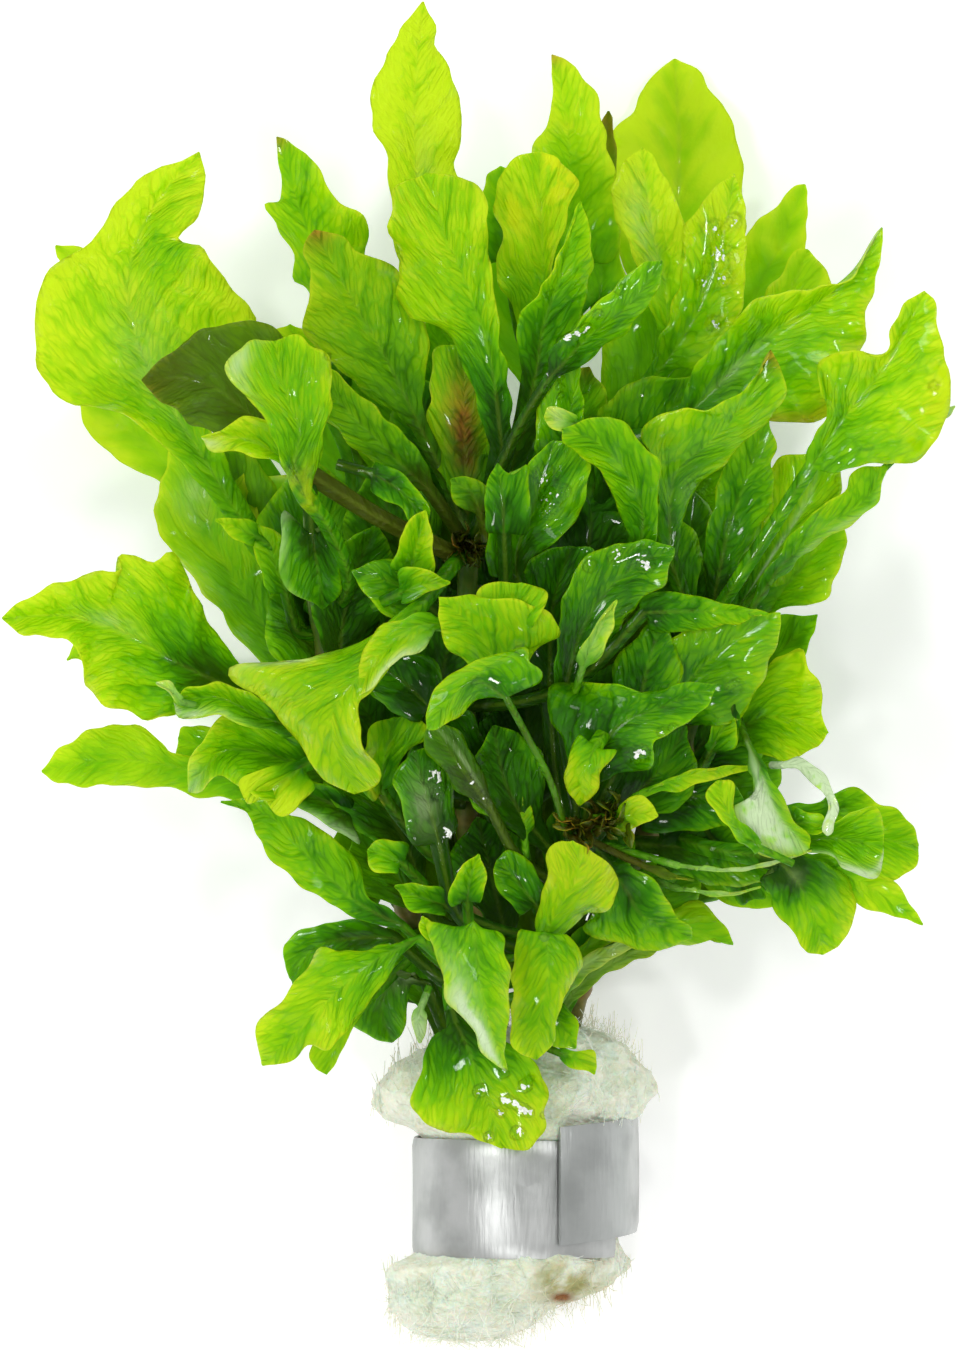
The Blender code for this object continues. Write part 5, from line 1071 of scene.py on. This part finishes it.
# A plain leaf deep in the bunch: base, tip, half its width, how far it bends aside, and how light,
# kept low as painted shade.
INNER_LEAVES = [
    ((-2, -24, 26), (-8, -4, 30), 6, 1, 0.30), ((0, -22, 24), (6, -2, 28), 6, -1, 0.26),
    ((2, -10, 28), (-6, 12, 33), 6, 1, 0.30), ((3, -8, 26), (12, 12, 31), 6.5, 1, 0.30),
    ((-2, 5, 30), (-12, 26, 34), 6, 1, 0.36), ((0, 8, 30), (5, 30, 31), 5.5, -1, 0.30),
    ((8, 5, 24), (18, 28, 28), 6.5, 1, 0.40), ((14, 14, 26), (27, 36, 29), 6.5, 1, 0.45),
    ((12, -20, 30), (22, 2, 33), 6.5, 1, 0.34), ((20, -10, 26), (30, 14, 28), 6.5, -1, 0.40),
    ((22, -16, 26), (34, -4, 27), 6, 1, 0.36), ((24, -4, 26), (26, 22, 30), 6, 0, 0.40),
    ((26, 0, 24), (38, 22, 22), 6, 0, 0.50), ((-12, -18, 26), (-20, 2, 28), 6, 0, 0.36),
    ((-14, -10, 26), (-24, 12, 26), 6, -1, 0.40), ((-16, 0, 26), (-20, 26, 24), 6.5, 1, 0.45),
    ((-8, -20, 27), (-14, -2, 35), 5, 0, 0.32), ((-4, -30, 26), (-15, -19, 26), 4, 0, 0.40),
    ((4, -34, 26), (0, -17, 34), 5, 0, 0.30), ((8, -32, 26), (16, -14, 34), 5.5, 0, 0.32),
    ((12, -34, 22), (27, -23, 22), 4.5, 0, 0.45), ((-8, 0, 22), (-29, 24, 15), 8, 0, 0.55),
    ((0, 10, 20), (-1, 44, 22), 4, 0, 0.50), ((16, 16, 20), (25, 50, 18), 7, 0, 0.50),
    ((16, 10, 22), (32, 32, 24), 6, 0, 0.52), ((-4, 12, 22), (-13, 44, 22), 7, 0, 0.50),
    ((-3, -14, 33), (-2, 8, 39), 5, 1, 0.28), ((10, -22, 36), (2, -6, 41), 5, 1, 0.30),
    ((12, -18, 34), (25, -6, 38), 5, -1, 0.34), ((-16, -4, 30), (-12, 18, 37), 5, 1, 0.34),
    ((27, 2, 30), (22, 20, 36), 5, 1, 0.38), ((-6, -28, 30), (-18, -8, 31), 5, -1, 0.40),
    ((-10, -6, 28), (-4, 14, 31), 5.5, 0, 0.28), ((4, -2, 27), (6, 18, 29), 5.5, 0, 0.26),
    ((-14, 2, 27), (-9, 20, 30), 5, 0, 0.32), ((12, 2, 26), (14, 22, 28), 6, 0, 0.30),
    ((-4, -18, 22), (-6, 4, 25), 7, 0, 0.26), ((8, -20, 22), (8, 4, 24), 7, 0, 0.24),
    ((18, -12, 22), (20, 10, 24), 7, 0, 0.30), ((-10, -26, 20), (-12, -6, 23), 6, 0, 0.32),
    ((2, -38, 20), (0, -20, 23), 5, 0, 0.35), ((10, -38, 20), (16, -20, 24), 5.5, 0, 0.35),
    ((24, -18, 24), (36, -8, 25), 5, 0, 0.40), ((-20, 4, 22), (-24, 22, 20), 6, 0, 0.40),
    ((-2, -42, 13), (-5, -12, 15), 8, 0, 0.30), ((7, -42, 13), (9, -14, 15), 7, 0, 0.30),
    ((-8, -24, 15), (-10, 2, 17), 8, 0, 0.28), ((2, -24, 14), (2, 4, 16), 9, 0, 0.26),
    ((12, -24, 14), (16, 4, 16), 9, 0, 0.28), ((0, 0, 20), (-4, 24, 24), 7, 0, 0.26),
    ((-14, -34, 14), (-13, -14, 15), 4, 0, 0.35), ((22, -30, 16), (32, -18, 18), 5, 0, 0.40),
    ((2, 14, 26), (-8, 36, 28), 6, 0, 0.40), ((7.4, 16, 26), (9.2, 38, 27), 3.8, 0, 0.40),
]
INNER_ROWS = 24
INNER_COLUMNS = 10
INNER_SEED = 201
# A growing tip: its middle and how red its young leaves are. Each grows a part of a turn past the last.
GROWING_TIPS = {
    "front": ((12.3, -18, 43.8), 1.2), "front_side": ((15.4, -17.6, 43), 1.0),
    "centre": ((-1.4, 15.4, 36), 1.2),
}
YOUNG_LEAVES = 18
YOUNG_TURN = 0.382
YOUNG_ROWS = 12
YOUNG_COLUMNS = 6
YOUNG_SEED = 301
TIP_SEED = 31


def inner_growth(base, tip, half_width, bend, light):
    """The outlines of a plain spoon-shaped leaf between two points."""
    base, tip = np.array(base, float), np.array(tip, float)
    run = (tip - base)[:2]
    aside = np.array([-run[1], run[0]]) / np.linalg.norm(run)
    at = {t: base[:2] + run * t + aside * bend * math.sin(math.pi * t) * 2
          for t in (0, 0.15, 0.35, 0.6, 0.8, 1)}
    widths = {0.35: 0.5, 0.6: 1.0, 0.8: 0.85}
    left, right = [[tuple(at[t] + aside * half_width * wide * sign) for t, wide in widths.items()]
                   for sign in (1, -1)]
    return ([tuple(p) for p in at.values()], left, right, (base[2], tip[2], 2.0),
            (1.5, -1.0), 2, light, 0.05, 0.25, 0.8)


for seed, (leaf_name, leaf_growth) in enumerate(SMALL_LEAVES.items(), SMALL_SEED):
    make_leaf(leaf_name, leaf_growth, seed, SMALL_MARKS.get(leaf_name, ()), (), SMALL_ROWS,
              SMALL_COLUMNS, leaf_name in LOBES)
for number, inner in enumerate(INNER_LEAVES):
    make_leaf("inner_%02d" % (number + 1), inner_growth(*inner), INNER_SEED + number, (), (), INNER_ROWS,
              INNER_COLUMNS)

for number_of_tip, (tip_name, (centre, redness)) in enumerate(GROWING_TIPS.items()):
    chance = np.random.default_rng(TIP_SEED + number_of_tip)
    for k in range(YOUNG_LEAVES):
        heading = 2 * math.pi * (k * YOUNG_TURN + chance.uniform(-0.12, 0.12))
        span = (1.2 + 0.13 * k) * chance.uniform(0.7, 1.5)
        start = np.array(centre) + chance.normal(size=3) * (0.9, 0.8, 0.4)
        tip = start + (span * math.cos(heading), span * math.sin(heading), chance.uniform(0, 1.4))
        growth = inner_growth(start, tip, chance.uniform(0.07, 0.13) * span, 0.4 * chance.normal(),
                              chance.uniform(0.15, 0.6))
        make_leaf("young_%s_%d" % (tip_name, k + 1), growth, YOUNG_SEED + number_of_tip * 20 + k,
                  [("red", 0.3, 0, 1.2, 3, redness), ("silver", 0.8, 0.5, 0.2, 0.4, 0.6)], (),
                  YOUNG_ROWS, YOUNG_COLUMNS, True)

# The wool plug.
# A lump of pale damp mineral wool that the strip pinches at its waist. It is spun fibre, so its face
# is a felt of fine threads with stray ends, lumpy above and below the strip.
WOOL_RINGS = 150
WOOL_AROUND = 180
WOOL_SWELL = 1.8
WOOL_LUMP = 0.9
WOOL_GRAIN = 0.32
# A girth: place along, middle across, half width, half depth and height of the middle.
WOOL_GIRTHS = [
    (-80.3, -1.0, 2.4, 3.4, 14.0), (-79.2, -1.2, 6.6, 7.8, 13.6), (-76.8, -1.0, 9.4, 10.8, 13.6),
    (-74.2, 2.0, 12.4, 12.4, 13.8), (-71.5, 3.6, 14.4, 13.2, 14.0), (-69.3, 5.2, 12.0, 12.2, 14.2),
    (-66.0, 5.5, 11.4, 11.4, 14.2), (-58.0, 5.5, 11.4, 11.4, 14.2), (-55.0, 5.2, 12.6, 12.4, 14.2),
    (-52.8, 4.2, 15.6, 13.6, 14.2), (-50.0, 4.2, 16.2, 14.0, 14.4), (-47.0, 4.8, 14.4, 12.8, 14.6),
    (-44.2, 6.6, 10.6, 10.2, 15.0), (-42.4, 7.8, 5.4, 6.4, 15.4),
]
# The strip's middle along the bunch, how far from it the wool is pinched flat, and how far from it a
# fibre may start and reach. Fibres stay above the surface and short of the end of the solid's box.
WAIST = -62.2
WAIST_REACH = 6.2
FIBRE_START_CLEAR = 7.4
FIBRE_CLEAR = 7.6
FIBRE_START_LOWEST = 0.8
FIBRE_LOWEST = 0.1
FIBRE_END = -81.3
FIBRES = 5200
FIBRE_RADIUS = 0.045
FIBRE_LENGTHS = (1.2, 4.2)
FIBRE_STEPS = 5
FIBRE_SIDES = 3
WOOL_SEED = 7
# Where the wool is stained: x, y, reach across, reach along and how much, for the olive patch of old
# fibres and for a stem's brown cut end.
OLIVE_STAIN = (10.8, -72.8, 4.2, 2.3, 1.5)
CUT_STAIN = (10.2, -74.9, 1.3, 0.6, 1.3)

girths = smooth_path(WOOL_GIRTHS, WOOL_RINGS)
turns = np.linspace(0, 2 * math.pi, WOOL_AROUND, endpoint=False)
wool_rings = np.zeros((WOOL_RINGS + 1, WOOL_AROUND, 3))
for ring, (place, middle, wide, deep, height) in zip(wool_rings, girths):
    loose = min(max(abs(place - WAIST) - WAIST_REACH, 0) / 2, 1)
    for k, turn in enumerate(turns):
        out = Vector((math.cos(turn), 0.0, math.sin(turn)))
        spot = Vector((middle + wide * out.x, place, height + deep * out.z))
        swell = noise.noise(spot * 0.16) * WOOL_SWELL + noise.noise(spot * 0.42) * WOOL_LUMP
        grain = noise.noise(spot * 1.6) * WOOL_GRAIN + noise.noise(spot * 4.0) * WOOL_GRAIN * 0.5
        spot += out * ((swell + grain) * loose)
        ring[k] = (spot.x, spot.y, max(spot.z, 0.15 + 0.1 * noise.noise(spot * 1.1)))
wool_points = [wool_rings.reshape(-1, 3)]
wool_faces = tube_faces(WOOL_RINGS + 1, WOOL_AROUND)
rng = np.random.default_rng(WOOL_SEED)
for _ in range(FIBRES):
    i = int(rng.integers(1, WOOL_RINGS))
    k = int(rng.integers(0, WOOL_AROUND))
    start = wool_rings[i, k]
    if abs(start[1] - WAIST) < FIBRE_START_CLEAR or start[2] < FIBRE_START_LOWEST:
        # A fibre that isn't made takes its random numbers all the same.
        rng.random(8)
        continue
    outward = start - np.array([girths[i][1], start[1], girths[i][4]])
    outward /= np.linalg.norm(outward)
    heading = rng.normal(size=3)
    heading -= outward * (heading @ outward) * 0.96
    heading /= np.linalg.norm(heading)
    curl = rng.normal(size=3) * 0.5
    curl -= outward * (curl @ outward) * 0.92
    span = rng.uniform(*FIBRE_LENGTHS)
    steps = np.linspace(0, 1, FIBRE_STEPS)[:, None]
    fibre = start + outward * 0.04 + heading * span * steps + curl * span * 0.35 * steps ** 2
    fibre = fibre - outward * (np.maximum(0, 1 - steps * 3) * 0.2)
    fibre[:, 2] = np.maximum(fibre[:, 2], FIBRE_LOWEST)
    if np.abs(fibre[:, 1] - WAIST).min() < FIBRE_CLEAR or fibre[:, 1].min() < FIBRE_END:
        continue
    rings = tube_rings(fibre, [FIBRE_RADIUS] * FIBRE_STEPS, FIBRE_SIDES)
    first = len(wool_points[0]) + (len(wool_points) - 1) * FIBRE_STEPS * FIBRE_SIDES
    wool_faces += tube_faces(FIBRE_STEPS, FIBRE_SIDES, first)
    wool_points.append(rings.reshape(-1, 3))
wool_finish = Finish("mineral_wool", {"Roughness": 0.9, "Subsurface Weight": 0.35,
                                      "Subsurface Scale": 0.002, "Specular IOR Level": 0.2})
wool_place = wool_finish.around()
_, wool_olive, wool_cut, _ = wool_finish.written("stain")
wool_cloud = wool_finish.speckle(wool_place, 260, 4)
wool_felt = wool_finish.speckle(wool_place, 1500, 3)
wool_colour = wool_finish.mix(wool_cloud.rise(0.35, 0.7), (0.75, 0.77, 0.63), (0.64, 0.67, 0.50))
wool_colour = wool_finish.mix(wool_felt.rise(0.4, 0.7) * 0.4, wool_colour, (0.88, 0.89, 0.80))
wool_colour = wool_finish.mix(wool_olive * wool_cloud.rise(0.2, 0.6), wool_colour, (0.36, 0.35, 0.15))
wool_finish.feed(wool_finish.shader, {
    "Base Color": wool_finish.mix(wool_cut, wool_colour, (0.22, 0.09, 0.03)),
    "Normal": wool_finish.bump(wool_felt + wool_cloud, 0.9, 0.0004)})
wool_points = np.vstack(wool_points)
wool = add_piece("fine_wool", wool_points, wool_faces, [wool_finish.material], ["wool"])
olive, cut = [
    much * np.exp(-((wool_points[:, 0] - x) / wide) ** 2 - ((wool_points[:, 1] - y) / tall) ** 2)
    for x, y, wide, tall, much in (OLIVE_STAIN, CUT_STAIN)]
write_down(wool, "stain", np.column_stack([olive, cut, cut]))

# The lead strip.
# Soft grey sheet lead, cut by hand and wound a little more than once round the wool, so that its
# outer end laps over the first turn. It is dull, finely scratched and slightly dented.
STRIP_RADIUS = 14.2
STRIP_HEIGHT = 13.7
STRIP_THICKNESS = 0.8
STRIP_GAP = 0.35
STRIP_WIDTH = 14.2
STRIP_TURN = 401
STRIP_START = 71.5
STRIP_X = 5.5
STRIP_STEPS = 260
STRIP_ACROSS = 14
# The place along the bunch of the strip's middle, at some degrees of its turn.
STRIP_COURSE = [(0, -61.5), (70, -59.8), (160, -61.2), (250, -62.9), (STRIP_TURN, -63.1)]
DENT = 0.10
RAGGED = 0.12
ROUNDED_WIDTH, ROUNDED_DEPTH = 0.3, 0.22
# Where the strip is darker than elsewhere, in degrees of its turn: its outer end, and painted shade on
# the side that is turned to the left as the camera sees it.
DARK_END, DARK_END_FADE = 50, 8
SHADED_SIDE, SHADED_SIDE_FADE, SHADED_SIDE_SHARE = 258, 26, 0.9

strip_rings = []
for step in range(STRIP_STEPS + 1):
    turn = STRIP_TURN * step / STRIP_STEPS
    middle = np.interp(turn, [t for t, _ in STRIP_COURSE], [y for _, y in STRIP_COURSE])
    angle = math.radians(STRIP_START - turn)
    out = np.array([math.cos(angle), 0, math.sin(angle)])
    radius = STRIP_RADIUS - (STRIP_THICKNESS + STRIP_GAP) * turn / 360
    ragged = [RAGGED * noise.noise(Vector((turn * 0.03, edge, 0.0))) for edge in (1.5, 8.5)]
    ring = []
    for face, reach in ((0, 1), (1, -1)):
        for k in range(STRIP_ACROSS + 1):
            share = reach * (1 - 2 * k / STRIP_ACROSS)
            half = STRIP_WIDTH / 2 + ragged[0 if share > 0 else 1]
            past_flat = abs(share) * STRIP_WIDTH / 2 - (STRIP_WIDTH / 2 - ROUNDED_WIDTH)
            near_edge = max(past_flat, 0) / ROUNDED_WIDTH
            rounding = ROUNDED_DEPTH * near_edge ** 2
            dent = DENT * noise.noise(Vector((turn * 0.022, share * 1.1, 4.0)))
            inset = rounding if face == 0 else STRIP_THICKNESS - rounding
            ring.append(np.array([STRIP_X, middle + share * half, STRIP_HEIGHT])
                        + out * (radius - inset + dent))
    strip_rings.append(ring)
strip_rings = np.array(strip_rings)
strip_sides = strip_rings.shape[1]
strip_finish = Finish("lead", {"Metallic": 0.92, "Anisotropic": 0.35})
_, strip_run, strip_across, strip_dark_end_and_side_shade = strip_finish.written("place")
scored = strip_finish.together(strip_run * 0.9, strip_across * 0.12, strip_dark_end_and_side_shade)
scratches = strip_finish.speckle(scored, 2.2, 5)
tarnish = strip_finish.speckle(strip_finish.around(), 160, 4)
lead_grey = strip_finish.mix(tarnish.rise(0.35, 0.7), (0.47, 0.48, 0.47), (0.34, 0.35, 0.34))
# Darker at the outer end, and painted shade on the side turned to the left.
strip_finish.feed(strip_finish.shader, {
    "Base Color": strip_finish.mix(strip_dark_end_and_side_shade * 0.45, lead_grey, (0.30, 0.32, 0.31)),
    "Roughness": scratches * 0.25 + tarnish * 0.15 + 0.22,
    "Normal": strip_finish.bump(scratches + tarnish * 0.6, 0.35, 0.00015)})
strip = add_piece("fine_lead_strip", strip_rings.reshape(-1, 3), tube_faces(STRIP_STEPS + 1, strip_sides),
                  [strip_finish.material], ["lead_strip"], 50)
strip_turns = np.repeat(np.linspace(0, STRIP_TURN, STRIP_STEPS + 1), strip_sides)
dark_end = np.clip((DARK_END - strip_turns) / DARK_END_FADE, 0, 1)
painted_side_shade = np.clip(SHADED_SIDE_SHARE - np.abs(strip_turns - SHADED_SIDE) / SHADED_SIDE_FADE, 0, 1)
dark_end_and_side_shade = dark_end + painted_side_shade
write_down(strip, "place", np.column_stack([np.radians(strip_turns) * STRIP_RADIUS,
                                            strip_rings.reshape(-1, 3)[:, 1], dark_end_and_side_shade]))

# The surface, the light and the camera.
# A pale matt board that glows a little and lights the leaves from below, under soft white light from
# all sides, with a key lamp and four small ones for the glints on wet leaves. The camera looks straight
# down on the bunch, as far off as keeps its outline true.
FLOOR_REACH = 3
corners = [(x * FLOOR_REACH, y * FLOOR_REACH, 0) for x, y in ((-1, -1), (1, -1), (1, 1), (-1, 1))]
floor_mesh = bpy.data.meshes.new("floor")
floor_mesh.from_pydata(corners, [], [(0, 1, 2, 3)])
floor = bpy.data.objects.new("floor", floor_mesh)
bpy.context.collection.objects.link(floor)
# The board glows faintly of itself, though it is no lamp.
floor_finish = Finish("glowing_board", {"Base Color": (0.93, 0.93, 0.93), "Roughness": 0.9,
                                "Specular IOR Level": 0.1, "Emission Color": (1, 1, 1),
                                "Emission Strength": 0.25})
floor_mesh.materials.append(floor_finish.material)

# The light all round is brightest from the sides, and darker from straight above.
SKY_GREYS = [(0.45, (0.92, 0.92, 0.92)), (0.95, (0.25, 0.25, 0.25))]
world = bpy.data.worlds.new("studio")
world.use_nodes = True
sky = Nodes(world.node_tree)
sky_place = sky.node("ShaderNodeTexCoord", {}, {})["Generated"]
sky_height = sky.node("ShaderNodeSeparateXYZ", {}, [sky_place])["Z"]
sky_grey = sky.node("ShaderNodeValToRGB", {"stops": SKY_GREYS}, [sky_height])["Color"]
sky.feed(sky.tree.nodes["Background"], {"Color": sky_grey, "Strength": 1.0})
bpy.context.scene.world = world
bpy.context.scene.view_settings.view_transform = "Standard"
AIM = Vector((0.0014, 0.0, 0.03))
# Each lamp: its place, its size and its power.
LAMPS = {
    "key": ((-0.42, 0.10, 0.75), 0.25, 1.9),
    "glint_left": ((-0.25, -0.30, 0.85), 0.08, 1.2),
    "glint_right": ((0.35, 0.15, 0.85), 0.08, 1.2),
    "glint_far": ((0.05, 0.50, 0.80), 0.08, 1.2),
    "glint_near": ((0.15, -0.45, 0.80), 0.08, 0.9),
}
for lamp_name, (place, size, power) in LAMPS.items():
    lamp = bpy.data.lights.new(lamp_name, "AREA")
    lamp.size = size
    lamp.energy = power
    holder = bpy.data.objects.new(lamp_name, lamp)
    holder.location = place
    holder.rotation_euler = (AIM - Vector(place)).to_track_quat("-Z", "Y").to_euler()
    bpy.context.collection.objects.link(holder)

CAMERA_DISTANCE = 3.0
FRAME_HEIGHT = 0.162
camera = bpy.data.cameras.new("camera")
camera.sensor_width = 36
camera.lens = camera.sensor_width * CAMERA_DISTANCE / FRAME_HEIGHT
camera.clip_end = 20
camera_holder = bpy.data.objects.new("camera", camera)
camera_holder.location = AIM + Vector((0, 0, CAMERA_DISTANCE))
bpy.context.collection.objects.link(camera_holder)
bpy.context.scene.camera = camera_holder
